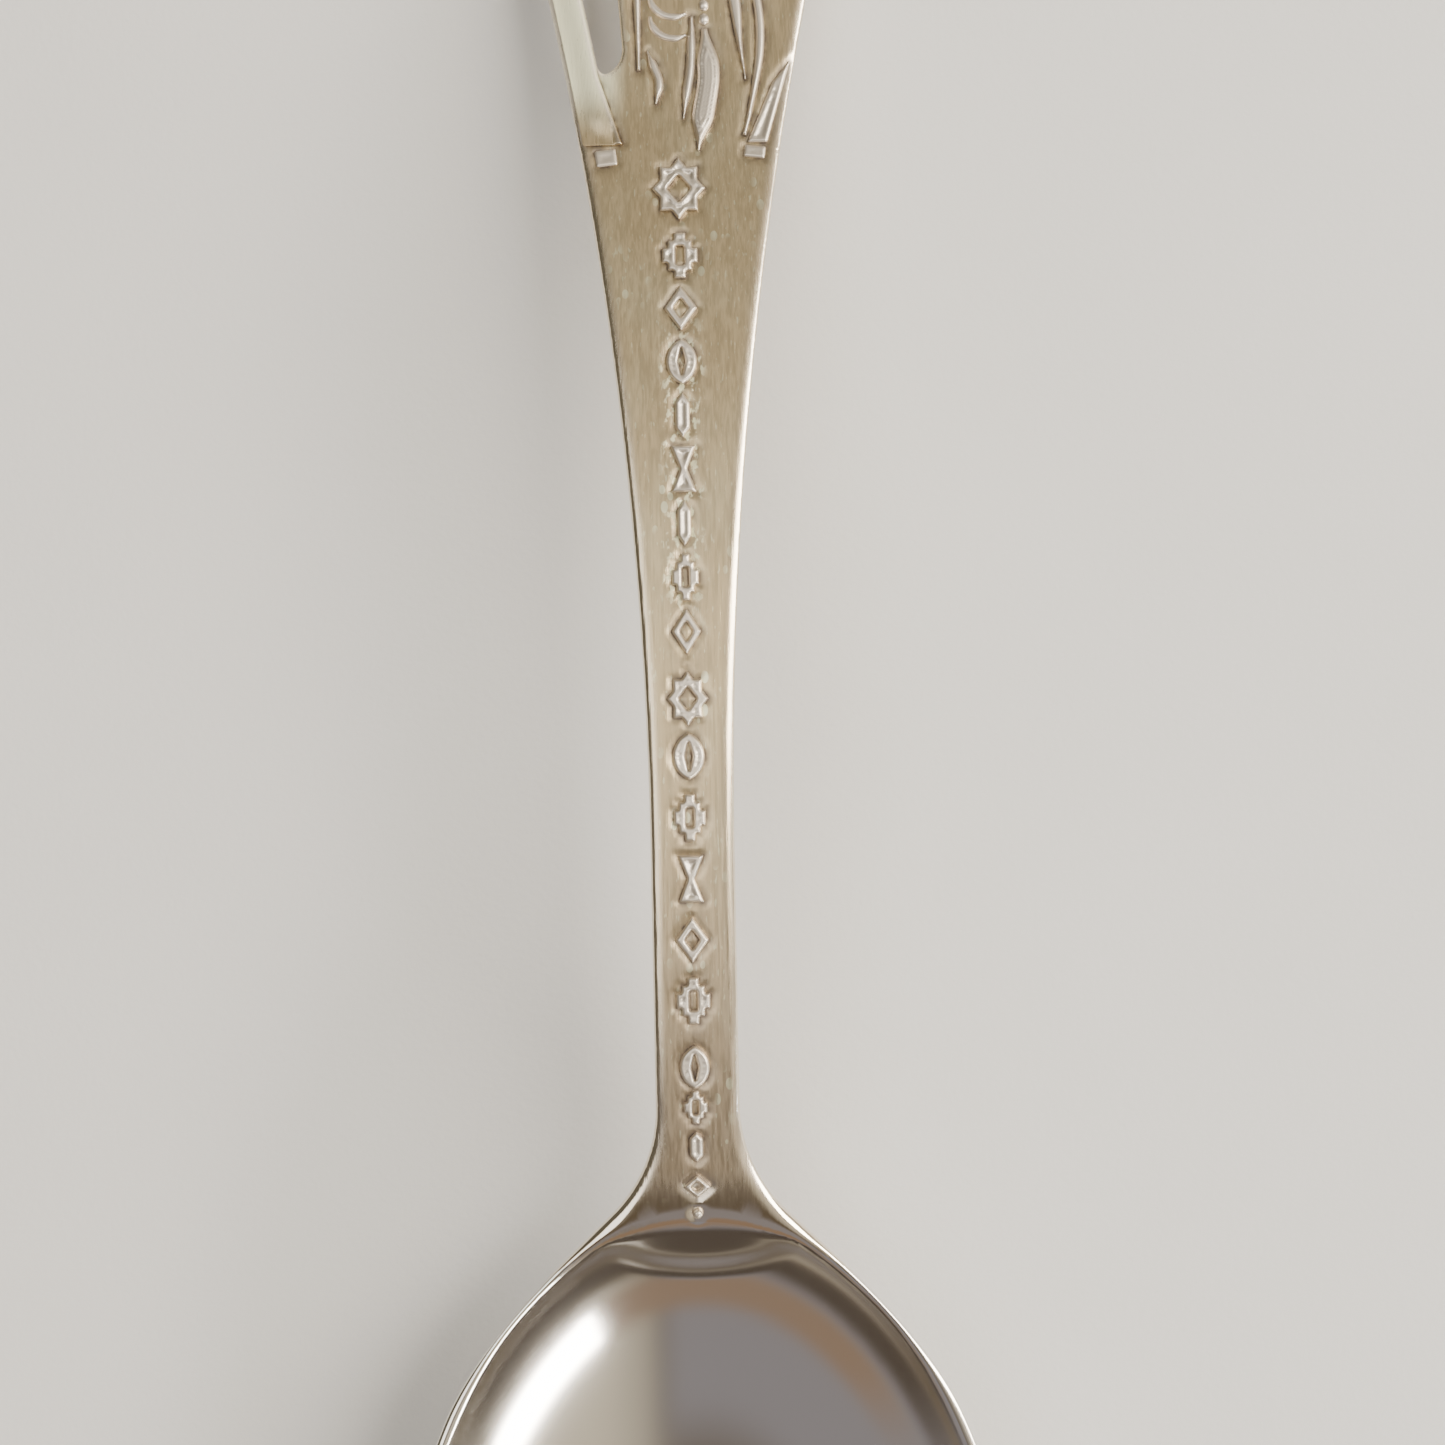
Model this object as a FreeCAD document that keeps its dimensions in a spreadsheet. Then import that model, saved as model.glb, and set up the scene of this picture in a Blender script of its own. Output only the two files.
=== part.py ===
# Souvenir spoon, a die-struck silver teaspoon with a pierced head and a column of raised motifs.
# X is across the spoon, +Y runs from the bowl to the head and +Z is up. The spoon lies as it does on a
# table: the bowl's underside and the flat back of the head touch Z = 0. The origin is under the middle of
# its length.
import FreeCAD, Part

import math
import os

import Sketcher
from FreeCAD import Vector

doc = FreeCAD.newDocument("SouvenirSpoon")

# ---------------------------------------------------------------- sizes, in millimetres

DRIVING = [
    ("half_length", 68.0, "from the origin to either end of the spoon"),
    ("bowl_centre", -44.655, "Y of the middle of the bowl"),
    ("bowl_across", 18.45, "half width of the ellipsoid that the bowl is the lower cap of"),
    ("bowl_along", 25.8, "half length of that ellipsoid"),
    ("bowl_height", 14.0, "half height of that ellipsoid"),
    ("bowl_wall", 0.85, "thickness of the bowl"),
    ("rim_radius", 80.0, "side view radius of the rim next to the neck"),
    ("rim_tip_radius", 400.0, "side view radius of the rim towards the tip"),
    ("junction", -21.0, "Y where the arched handle meets the rim's curve"),
    ("arch_top", 11.1, "height of the handle's top face at Y = 0"),
    ("arch_radius", 97.7, "side view radius of the arched top face"),
    ("arch_under_radius", 106.0, "side view radius of the arched back"),
    ("arch_thick", 2.3, "thickness at the top of the arch"),
    ("head_thick", 1.5, "thickness of the head"),
    ("head_flat", 60.0, "Y from which the head lies flat"),
    ("neck_half", 2.08, "half width of the neck"),
    ("neck_top", -3.0, "Y where the handle starts to widen"),
    ("neck_foot", -15.6, "Y where the neck starts to flare into the bowl"),
    ("flare_radius", 211.0, "plan radius of the handle's widening sides"),
    ("fillet_radius", 7.6, "plan radius of the flare between neck and bowl"),
    ("web_thick", 1.3, "thickness of the flare beside the neck"),
    ("flank_end", 8.9, "half width of the flare where it meets the bowl's side"),
    ("heel_end", -28.0, "Y where the neck's underside meets the back of the bowl"),
    ("heel_low", 3.2, "height of that point"),
    ("heel_curve", 60.0, "side view radius of the neck's underside as it runs down the bowl"),
    ("split", 32.2, "Y of the joint between stem and pierced head"),
    ("rail_width", 1.7, "width of the head's outer rail beside the windows"),
    ("window_round", 2.0, "width of a window around the shield"),
    ("window_join", 3.9, "X where a window's straight side meets its curve around the shield"),
    ("crest_side", 0.87, "X where rails and windows end at the crest, as a share of their radius"),
    ("window_foot", 36.25, "Y of the left window's lower end"),
    ("right_window_foot", 43.5, "Y of the right window's lower end"),
    ("panel_half", 2.83, "X of the left window's inner side at its foot, to the left"),
    ("right_panel_half", 3.18, "X of the right window's inner side at its foot"),
    ("window_corner", 0.3, "corner cut off a window's foot beside the rail"),
    ("window_slope", 1.25, "rise of a window's foot towards the middle"),
    ("window_foot_round", 1.2, "plan radius of a window's foot"),
    ("relief", 0.32, "height of the raised ornament"),
    ("pole_relief", 0.22, "height of the raised poles"),
    ("edge_margin", 0.35, "plain margin between ornament and the handle's edge"),
    ("relief_low", -22.5, "Y down to which the relief runs"),
    ("clearance", 16.0, "height of the cutters, above all of the spoon"),
    ("spare", 2.0, "distance by which a cutter passes the spoon"),
    ("swag_radius", 1.42, "outer radius of a draped strand"),
    ("swag_wire", 0.32, "width of a draped strand"),
    ("swag_low", 37.85, "Y of the lowest draped strand"),
    ("swag_pitch", 1.12, "spacing of the draped strands"),
    ("swag_centre", -0.2, "X of the draped strands"),
    ("swag_end", 0.6, "X where a draped strand goes under the slim feather"),
    ("foot_size", 1.1, "width of a pole's foot"),
    ("left_foot_tall", 0.88, "length of the left pole's foot"),
    ("right_foot_tall", 0.66, "length of the right pole's foot"),
    ("left_foot_x", -3.74, "X of the middle of the left pole's foot"),
    ("right_foot_x", 3.76, "X of the middle of the right pole's foot"),
    ("foot_y", 31.95, "Y of the middle of the left pole's foot"),
    ("right_foot_y", 32.15, "Y of the middle of the right pole's foot"),
    ("foot_turn", 7.0, "turn of each foot towards its pole, in degrees"),
    ("pole_low", 32.6, "Y of the poles' lower ends"),
    ("left_pole_in", 3.0, "X of the left pole's inner edge at its foot, to the left"),
    ("right_pole_in", 3.38, "X of the right pole's inner edge at its foot"),
    ("right_pole_out", 4.42, "X of the right pole's outer edge at its foot"),
    ("right_pole_tip", 4.72, "X where the right pole's inner edge ends"),
    ("left_pole_join", 36.2, "Y where the left pole's inner edge meets the window's"),
    ("right_pole_join", 35.75, "Y where the right pole's inner edge ends"),
    ("pole_end", 36.9, "Y where the right pole reaches the plate's edge"),
    ("column_x", -2.04, "X of the side column"),
    ("column_width", 0.4, "width of the side column"),
    ("column_low", 36.46, "Y of the side column's lower end"),
    ("ornament_top", 50.4, "Y up to which the hanging ornaments run, just below the shield"),
    ("crescent_x", -1.15, "X of the crescent's tip"),
    ("crescent_y", 34.68, "Y of the crescent's tip"),
    ("crescent_long", 2.8, "length of the crescent"),
    ("crescent_lean", 0.42, "distance in X between its two ends"),
    ("crescent_outer", 2.2, "radius of its bulging side"),
    ("crescent_inner", 4.2, "radius of its hollow side"),
    ("slim_x", 0.2, "X of the slim feather's tip"),
    ("slim_y", 33.87, "Y of the slim feather's tip"),
    ("slim_long", 5.4, "length of the slim feather"),
    ("slim_wide", 0.66, "width of the slim feather"),
    ("broad_x", 0.95, "X of the broad feather's tip"),
    ("broad_y", 32.24, "Y of the broad feather's tip"),
    ("broad_long", 6.35, "length of the broad feather"),
    ("broad_wide", 1.2, "width of the broad feather"),
    ("strand_low", 35.9, "Y of the inner side strand's tip"),
    ("strand_bend", 40.0, "Y where the side strands are widest apart"),
    ("strand_turn", 45.0, "Y where they turn up towards the shield"),
    ("inner_tip_x", 3.38, "X of the inner strand's tip"),
    ("inner_bend_x", 2.9, "X of its middle where it is widest apart"),
    ("inner_turn_x", 2.2, "X of its middle where it turns up"),
    ("inner_top_x", 2.06, "X of its middle at the shield"),
    ("inner_wide", 0.9, "width of the inner strand where it is widest apart"),
    ("inner_thin", 0.42, "width of the inner strand above that"),
    ("outer_low", 33.0, "Y of the outer strand's tip"),
    ("outer_elbow", 34.5, "Y of its first bend"),
    ("outer_tip_x", 3.26, "X of its tip"),
    ("outer_elbow_x", 3.6, "X of its first bend"),
    ("outer_bend_x", 4.05, "X of its middle where it is widest apart"),
    ("outer_turn_x", 2.87, "X of its middle where it turns up"),
    ("outer_top_x", 2.75, "X of its middle at the shield"),
    ("outer_wide", 0.48, "width of the outer strand below the turn"),
    ("outer_thin", 0.3, "width of the outer strand at its two ends"),
    ("bead_pitch", 0.73, "spacing of the beads on the braid"),
    ("bead_across", 0.6, "width of a bead on the braid"),
    ("bead_low", 39.06, "Y of the lowest bead on the braid"),
    ("bead_centre", 1.32, "X of the braid"),
    ("shield_radius", 6.0, "outer radius of the shield's rim"),
    ("shield_band", 0.7, "width of the shield's rim"),
    ("ring_radius", 3.1, "outer radius of the shield's inner ring"),
    ("ring_band", 0.48, "width of that ring"),
    ("boss_radius", 1.15, "radius of the shield's boss"),
    ("pip_radius", 0.36, "radius of the pips around the shield"),
    ("pip_circle", 4.2, "distance of the pips from the shield's centre"),
    ("crest_inner", 6.55, "distance of the crest feathers' feet from the shield's centre"),
    ("crest_outer", 9.85, "distance of their tips"),
    ("crest_width", 1.25, "width of a crest feather"),
    ("crest_step", 17.0, "angle between crest feathers, in degrees"),
    ("mark_centre", -0.1, "X of the column of motifs"),
    ("mark_height", 2.36, "height of a motif in the upper and middle rows"),
    ("first_initial", 30.3, "Y of the upper large motif"),
    ("upper_first", 26.85, "Y of the first motif of the upper row"),
    ("upper_pitch", 2.7, "spacing of the upper row"),
    ("second_initial", 4.62, "Y of the lower large motif"),
    ("middle_first", 1.75, "Y of the first motif of the middle row"),
    ("middle_pitch", 3.03, "spacing of the middle row"),
    ("lower_first", -13.7, "Y of the first motif of the lower row"),
    ("lower_pitch", 2.0, "spacing of the lower row"),
    ("end_bead_y", -21.1, "Y of the bead that ends the column"),
    ("bead_radius", 0.22, "radius of that bead"),
]

# Values that follow from the driving ones. The side view's arcs are tangent where they meet, and so are
# the plan's.
DERIVED = [
    ("arch_centre", "Sizes.arch_top - Sizes.arch_radius"),
    ("arch_fall", "Sizes.arch_top - Sizes.head_thick"),
    ("sweep_radius", "Sizes.head_flat ^ 2 / (2 * arch_fall) - Sizes.arch_radius + arch_fall / 2"),
    ("bend_y", "Sizes.head_flat / (Sizes.arch_radius + sweep_radius)"),
    ("bend_z", "(Sizes.head_thick + sweep_radius - arch_centre) / (Sizes.arch_radius + sweep_radius)"),
    ("under_top", "Sizes.arch_top - Sizes.arch_thick"),
    ("under_centre", "under_top - Sizes.arch_under_radius"),
    ("under_sweep", "Sizes.head_flat ^ 2 / (2 * under_top) - Sizes.arch_under_radius + under_top / 2"),
    ("under_bend_y", "Sizes.head_flat / (Sizes.arch_under_radius + under_sweep)"),
    ("under_bend_z", "(under_sweep - under_centre) / (Sizes.arch_under_radius + under_sweep)"),
    ("lean_y", "Sizes.junction / Sizes.arch_radius"),
    ("lean_z", "sqrt(1 - lean_y ^ 2)"),
    ("rim_centre_y", "(Sizes.arch_radius + Sizes.rim_radius) * lean_y"),
    ("rim_centre_z", "arch_centre + (Sizes.arch_radius + Sizes.rim_radius) * lean_z"),
    ("rim_low", "rim_centre_z - Sizes.rim_radius"),
    ("flare_x", "Sizes.neck_half + Sizes.flare_radius"),
    ("flare_up", "Sizes.half_length - Sizes.neck_top"),
    ("flare_excess", "flare_x ^ 2 + flare_up ^ 2 - Sizes.flare_radius ^ 2"),
    ("head_radius", "flare_excess / (2 * (Sizes.flare_radius + flare_up))"),
    ("head_y", "Sizes.half_length - head_radius"),
    ("touch_x", "flare_x * head_radius / (Sizes.flare_radius + head_radius)"),
    ("touch_y", "head_y + (Sizes.neck_top - head_y) * head_radius / (Sizes.flare_radius + head_radius)"),
    ("shoulder_drop", "Sizes.fillet_radius * sqrt(0.5)"),
    ("shoulder_x", "Sizes.neck_half + Sizes.fillet_radius - shoulder_drop"),
    ("shoulder_y", "Sizes.neck_foot - shoulder_drop"),
]


def sheet(name, rows):
    """A spreadsheet with one aliased value on each row. Rows are (alias, value, note) or (alias, formula)."""
    made = doc.addObject("Spreadsheet::Sheet", name)
    for number, row in enumerate(rows, start=1):
        made.set(f"A{number}", row[0])
        made.set(f"B{number}", str(row[1]) if len(row) == 3 else f"={row[1]}")
        made.setAlias(f"B{number}", row[0])
        if len(row) == 3:
            made.set(f"C{number}", row[2])
    doc.recompute()
    return made


sizes = sheet("Sizes", DRIVING)
derived = sheet("Derived", DERIVED)
reader = doc.addObject("App::FeaturePython", "Reader")


def value(expression):
    """The number that an expression on the two sheets stands for."""
    return float(reader.evalExpression(str(expression)))


# ---------------------------------------------------------------- sketches and pads


def arc_middle(start, end, radius):
    """The middle of an arc. It bulges to the left of the way from start to end if the radius is positive."""
    chord = end - start
    sagitta = abs(radius) - math.sqrt(max(radius * radius - chord.Length**2 / 4, 0))
    left = Vector(-chord.y, chord.x, 0).normalize()
    return (start + end) / 2 + left * math.copysign(sagitta, radius)


def trace(sketch, corners):
    """Adds a closed outline of expressions: (x, y), or (x, y, radius) where an arc leaves the corner."""
    points = [Vector(value(corner[0]), value(corner[1]), 0) for corner in corners]
    first = sketch.GeometryCount
    for index, corner in enumerate(corners):
        start, end = points[index], points[(index + 1) % len(points)]
        if len(corner) == 3:
            edge = Part.Arc(start, arc_middle(start, end, value(corner[2])), end)
        else:
            edge = Part.LineSegment(start, end)
        sketch.addGeometry(edge, False)
    for index, corner in enumerate(corners):
        edge, before = first + index, first + (index - 1) % len(corners)
        vertex = vertex_at(sketch, edge, points[index])
        joined = vertex_at(sketch, before, points[index])
        sketch.addConstraint(Sketcher.Constraint("Coincident", before, joined, edge, vertex))
        bind(sketch, Sketcher.Constraint("DistanceX", -1, 1, edge, vertex, points[index].x), corner[0])
        bind(sketch, Sketcher.Constraint("DistanceY", -1, 1, edge, vertex, points[index].y), corner[1])
        if len(corner) == 3:
            radius = f"abs({corner[2]})"
            bind(sketch, Sketcher.Constraint("Radius", edge, value(radius)), radius)


def vertex_at(sketch, edge, point):
    """Which end of an edge lies at a point."""
    return 1 if sketch.getPoint(edge, 1).distanceToPoint(point) < 1e-6 else 2


def bind(sketch, constraint, expression):
    """Adds a constraint whose size is an expression."""
    index = sketch.addConstraint(constraint)
    sketch.setExpression(f"Constraints[{index}]", str(expression))


def circle(sketch, x, y, radius):
    shape = Part.Circle(Vector(value(x), value(y), 0), Vector(0, 0, 1), value(radius))
    edge = sketch.addGeometry(shape, False)
    bind(sketch, Sketcher.Constraint("DistanceX", -1, 1, edge, 3, value(x)), x)
    bind(sketch, Sketcher.Constraint("DistanceY", -1, 1, edge, 3, value(y)), y)
    bind(sketch, Sketcher.Constraint("Radius", edge, value(radius)), radius)


def pad(name, outlines, plane="XY_Plane", length="Sizes.clearance", circles=()):
    """A body padded from outlines: upwards from the XY plane, or half each way from the YZ plane."""
    body = doc.addObject("PartDesign::Body", name)
    sketch = body.newObject("Sketcher::SketchObject", f"{name}_outline")
    origin = next(item for item in body.Origin.OriginFeatures if item.Role == plane)
    sketch.AttachmentSupport = (origin, [""])
    sketch.MapMode = "FlatFace"
    for corners in outlines:
        trace(sketch, corners)
    for x, y, radius in circles:
        circle(sketch, x, y, radius)
    feature = body.newObject("PartDesign::Pad", f"{name}_pad")
    feature.Profile = sketch
    feature.setExpression("Length", length)
    feature.SideType = "Symmetric" if plane == "YZ_Plane" else "One side"
    return body


def combine(kind, name, base, tool):
    """A Part::Common or Part::Cut of two objects."""
    made = doc.addObject(kind, name)
    made.Base, made.Tool = base, tool
    return made


def backwards(path):
    """The same run of edges, from its other end."""
    points = [corner[:2] for corner in reversed(path)]
    bends = [corner[2:] for corner in reversed(path[:-1])]
    turned = [point + tuple(f"-({radius})" for radius in bend) for point, bend in zip(points, bends)]
    return turned + points[-1:]


def mirrored(path):
    """A run of edges mirrored in X = 0, and turned round so that it can close the outline."""
    flipped = []
    for corner in path:
        flipped.append((f"-({corner[0]})", corner[1]) + tuple(f"-({radius})" for radius in corner[2:]))
    return backwards(flipped)


# ---------------------------------------------------------------- side view of the handle

ARCH, SWEEP, RIM = "Sizes.arch_radius", "Derived.sweep_radius", "Sizes.rim_radius"
WIDE = "4 * Derived.head_radius"


def on_arch(y, lift="0"):
    """Height of the arched top face at Y, raised by lift."""
    return f"Derived.arch_centre + sqrt(({ARCH} + {lift}) ^ 2 - ({y}) ^ 2)"


def on_rim(y, lift="0"):
    """Height of the rim's curve next to the neck, at Y."""
    return f"Derived.rim_centre_z - sqrt(({RIM} - ({lift})) ^ 2 - ({y} - Derived.rim_centre_y) ^ 2)"


def to_neck(start, lift="0"):
    """The top face from a point on the rim's curve to the point where the arch begins."""
    reach = f"({ARCH} + {lift})"
    return [
        (start, on_rim(start, lift), f"-({RIM} - ({lift}))"),
        (f"{reach} * Derived.lean_y", f"Derived.arch_centre + {reach} * Derived.lean_z"),
    ]


def to_head(lift="0"):
    """The top face from the end of the arch to the end of the head."""
    reach, centre = f"({ARCH} + {lift})", "Derived.arch_centre"
    return [
        (f"{reach} * Derived.bend_y", f"{centre} + {reach} * Derived.bend_z", f"-({SWEEP} - ({lift}))"),
        ("Sizes.head_flat", f"Sizes.head_thick + {lift}"),
        ("Sizes.half_length", f"Sizes.head_thick + {lift}"),
    ]


def bent(path, radius):
    """The run with an arc of this radius leaving its last corner."""
    return path[:-1] + [path[-1] + (radius,)]


def under_arch(y):
    return f"Derived.under_centre + sqrt(Sizes.arch_under_radius ^ 2 - ({y}) ^ 2)"


def handle_side():
    """The whole handle from the neck's foot to the head's end, thinner towards the head."""
    top = [("Sizes.neck_foot", on_arch("Sizes.neck_foot"), ARCH)] + to_head()
    reach, centre, sweep = "Sizes.arch_under_radius", "Derived.under_centre", "-Derived.under_sweep"
    under = [
        ("Sizes.neck_foot", under_arch("Sizes.neck_foot"), reach),
        (f"{reach} * Derived.under_bend_y", f"{centre} + {reach} * Derived.under_bend_z", sweep),
        ("Sizes.head_flat", "0"),
        ("Sizes.half_length", "0"),
    ]
    return backwards(top) + under


def relief_side(height):
    """A skin of constant height that lies on the whole of the handle's top face."""
    faces = []
    for lift in ("0", height):
        faces.append(bent(to_neck("Sizes.relief_low", lift), f"{ARCH} + {lift}") + to_head(lift))
    return backwards(faces[1]) + faces[0]


def neck_face(lift):
    """The top face beside the neck, from the bowl's back to the neck's foot, raised by lift."""
    neck = ("Sizes.neck_foot", on_arch("Sizes.neck_foot", lift))
    return bent(to_neck("Sizes.heel_end", lift), f"{ARCH} + {lift}") + [neck]


def web_side():
    """The thin flare between neck and bowl, under the rim's curve."""
    return backwards(neck_face("0")) + neck_face("-Sizes.web_thick")


def heel_side():
    """The neck's thick middle, which runs down onto the back of the bowl."""
    under = [
        ("Sizes.heel_end", "Sizes.heel_low", "Sizes.heel_curve"),
        ("Sizes.neck_foot", under_arch("Sizes.neck_foot")),
    ]
    return backwards(neck_face("0")) + under


handle_strip = pad("handle_strip", [handle_side()], "YZ_Plane", WIDE)
relief_skin = pad("relief_skin", [relief_side("Sizes.relief")], "YZ_Plane", WIDE)
pole_skin = pad("pole_skin", [relief_side("Sizes.pole_relief")], "YZ_Plane", WIDE)

# ---------------------------------------------------------------- plan of the handle

FLARE = "Sizes.flare_radius"


def side_x(y, inset="0"):
    """X of the handle's right side at Y, moved inwards by inset."""
    return f"Derived.flare_x - sqrt(({FLARE} + {inset}) ^ 2 - ({y} - Sizes.neck_top) ^ 2)"


def around_head(inset="0"):
    """The head's right side, from where the flare touches it to its top."""
    reach = f"(Derived.head_radius - ({inset}))"
    share = f"{reach} / Derived.head_radius"
    rise = "(Derived.touch_y - Derived.head_y)"
    return [
        (f"{share} * Derived.touch_x", f"Derived.head_y + {share} * {rise}", f"-{reach}"),
        ("0", f"Derived.head_y + {reach}"),
    ]


def stem_plan():
    right = [
        ("Sizes.neck_half", "Sizes.neck_foot"),
        ("Sizes.neck_half", "Sizes.neck_top", FLARE),
        (side_x("Sizes.split"), "Sizes.split"),
    ]
    return right + mirrored(right)


def head_plan():
    right = [(side_x("Sizes.split"), "Sizes.split", FLARE)] + around_head()
    return right[:-1] + mirrored(right)


def edge_run(start, inset):
    """The handle's right edge moved inwards, from Y = start round the head as far as the crest."""
    reach = f"(Derived.head_radius - ({inset}))"
    return [
        (side_x(start, inset), start, f"{FLARE} + {inset}"),
        around_head(inset)[0],
        (f"{reach} * Sizes.crest_side", f"Derived.head_y + {reach} * sqrt(1 - Sizes.crest_side ^ 2)"),
    ]


def window(foot, foot_half):
    """The right window, between the rail, the middle panel and the shield."""
    inner = "(Derived.head_radius - Sizes.rail_width - Sizes.window_round)"
    join = "Sizes.window_join"
    corner = "Sizes.window_corner"
    return edge_run(f"{foot} + {corner}", "Sizes.rail_width") + [
        (f"{inner} * Sizes.crest_side", f"Derived.head_y + {inner} * sqrt(1 - Sizes.crest_side ^ 2)", inner),
        (join, f"Derived.head_y - sqrt({inner} ^ 2 - {join} ^ 2)"),
        (foot_half, f"{foot} + Sizes.window_slope", "-Sizes.window_foot_round"),
        (f"{side_x(foot, 'Sizes.rail_width')} - {corner}", foot),
    ]


# ---------------------------------------------------------------- bowl and flare


def ellipsoid(name, inset):
    """The ellipsoid whose lower cap is the bowl, made smaller by inset all round."""
    made = doc.addObject("Part::Ellipsoid", name)
    made.setExpression("Radius1", f"Sizes.bowl_height - {inset}")
    made.setExpression("Radius2", f"Sizes.bowl_across - {inset}")
    made.setExpression("Radius3", f"Sizes.bowl_along - {inset}")
    made.setExpression("Placement.Base.y", "Sizes.bowl_centre")
    made.setExpression("Placement.Base.z", "Sizes.bowl_height")
    return made


def below_rim():
    """Side view of everything below the bowl's rim, which dips between neck and tip."""
    tip_side, neck_side = "-Sizes.half_length - Sizes.spare", "Sizes.junction + Sizes.spare"
    swing = "Sizes.rim_tip_radius"
    tip_height = f"Derived.rim_low + {swing} - sqrt({swing} ^ 2 - ({tip_side} - Derived.rim_centre_y) ^ 2)"
    return [
        (tip_side, tip_height, f"-{swing}"),
        ("Derived.rim_centre_y", "Derived.rim_low", f"-{RIM}"),
        (neck_side, on_rim(neck_side)),
        (neck_side, "-1"),
        (tip_side, "-1"),
    ]


def flare_plan():
    """The concave flare beside the neck, and its straight flanks down to the bowl's side."""
    right = [
        ("Sizes.flank_end", "Derived.shoulder_y + Derived.shoulder_x - Sizes.flank_end"),
        ("Derived.shoulder_x", "Derived.shoulder_y", "Sizes.fillet_radius"),
        ("Sizes.neck_half", "Sizes.neck_foot"),
    ]
    return right + mirrored(right)


def heel_plan():
    """The neck's thick middle, with a rounded end on the back of the bowl."""
    right = [
        ("0", "Sizes.heel_end", "-Sizes.neck_half"),
        ("Sizes.neck_half", "Sizes.heel_end + Sizes.neck_half"),
        ("Sizes.neck_half", "Sizes.neck_foot"),
    ]
    return right + mirrored(right)[:-1]


bowl_outside = ellipsoid("bowl_outside", "0")
bowl_inside = ellipsoid("bowl_inside", "Sizes.bowl_wall")
bowl_side = pad("bowl_side", [below_rim()], "YZ_Plane", WIDE)
bowl_blank = combine("Part::Common", "bowl_blank", bowl_outside, bowl_side)
bowl = combine("Part::Cut", "bowl", bowl_blank, bowl_inside)

web_strip = pad("web_strip", [web_side()], "YZ_Plane", WIDE)
web = combine("Part::Common", "web", pad("flare_plan", [flare_plan()]), web_strip)
heel_strip = pad("heel_strip", [heel_side()], "YZ_Plane", WIDE)
heel = combine("Part::Common", "heel", pad("heel_plan", [heel_plan()]), heel_strip)
flare = combine("Part::Fuse", "flare", web, heel)
shoulder = combine("Part::Cut", "shoulder", flare, bowl_outside)

# ---------------------------------------------------------------- stem and pierced head

stem = combine("Part::Common", "stem", pad("stem_plan", [stem_plan()]), handle_strip)
head_blank = combine("Part::Common", "head_blank", pad("head_plan", [head_plan()]), handle_strip)
left_window = window("Sizes.window_foot", "Sizes.panel_half")
right_window = window("Sizes.right_window_foot", "Sizes.right_panel_half")
windows = pad("windows", [mirrored(left_window), right_window])
head_plate = combine("Part::Cut", "head_plate", head_blank, windows)

nodes = {"bowl": bowl, "shoulder": shoulder, "stem": stem, "head_plate": head_plate}

# ---------------------------------------------------------------- raised ornament of the head


def raised(name, outlines=(), circles=(), skin=relief_skin, turn=None):
    """An ornament on the top face. turn is the angle of an outline drawn about the shield's centre."""
    plan = pad(f"{name}_plan", outlines, circles=circles)
    if turn:
        plan.setExpression("Placement.Base.y", "Derived.head_y")
        plan.setExpression("Placement.Rotation.Angle", turn)
    nodes[name] = combine("Part::Common", name, plan, skin)


def offset(x, y, corners):
    """Corners given from a point."""
    return [(f"{x} + ({corner[0]})", f"{y} + ({corner[1]})") + tuple(corner[2:]) for corner in corners]


def block(x, y, wide, tall, degrees):
    """Corners of a rectangle turned about its middle."""
    corners = []
    for across, along in ((1, -1), (1, 1), (-1, 1), (-1, -1)):
        half_x, half_y = f"({wide}) / 2 * {across}", f"({tall}) / 2 * {along}"
        corner_x = f"{half_x} * cos({degrees}) - {half_y} * sin({degrees})"
        corners.append((corner_x, f"{half_x} * sin({degrees}) + {half_y} * cos({degrees})"))
    return offset(x, y, corners)


def rail(foot, inner_foot):
    """The raised rail along the head's right edge, from foot up to the crest."""
    return edge_run(foot, "Sizes.edge_margin") + backwards(edge_run(inner_foot, "Sizes.rail_width"))


def ribbon(places):
    """A strand that follows a line of (x, y, width)."""
    right = [(f"{x} + {width} / 2", y) for x, y, width in places]
    left = [(f"{x} - {width} / 2", y) for x, y, width in reversed(places)]
    return right + left


foot = "Sizes.foot_size"
left_foot = block("Sizes.left_foot_x", "Sizes.foot_y", foot, "Sizes.left_foot_tall", "Sizes.foot_turn")
raised("left_foot", [left_foot])
right_tall = "Sizes.right_foot_tall"
right_foot = block("Sizes.right_foot_x", "Sizes.right_foot_y", foot, right_tall, "-Sizes.foot_turn")
raised("right_foot", [right_foot])

pole_low = "Sizes.pole_low"
left_pole = rail(pole_low, "Sizes.left_pole_join") + [("Sizes.left_pole_in", pole_low)]
raised("left_pole", [mirrored(left_pole)], skin=pole_skin)
right_pole = [
    ("Sizes.right_pole_in", pole_low),
    ("Sizes.right_pole_out", pole_low),
    (side_x("Sizes.pole_end", "Sizes.edge_margin"), "Sizes.pole_end"),
    ("Sizes.right_pole_tip", "Sizes.right_pole_join"),
]
raised("right_pole", [right_pole], skin=pole_skin)
rail_foot = "Sizes.right_window_foot + Sizes.window_corner"
raised("right_rail", [rail(rail_foot, rail_foot)], skin=pole_skin)

column_ends = ("Sizes.column_low", "Sizes.ornament_top")
raised("side_column", [ribbon([("Sizes.column_x", y, "Sizes.column_width") for y in column_ends])])

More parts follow.
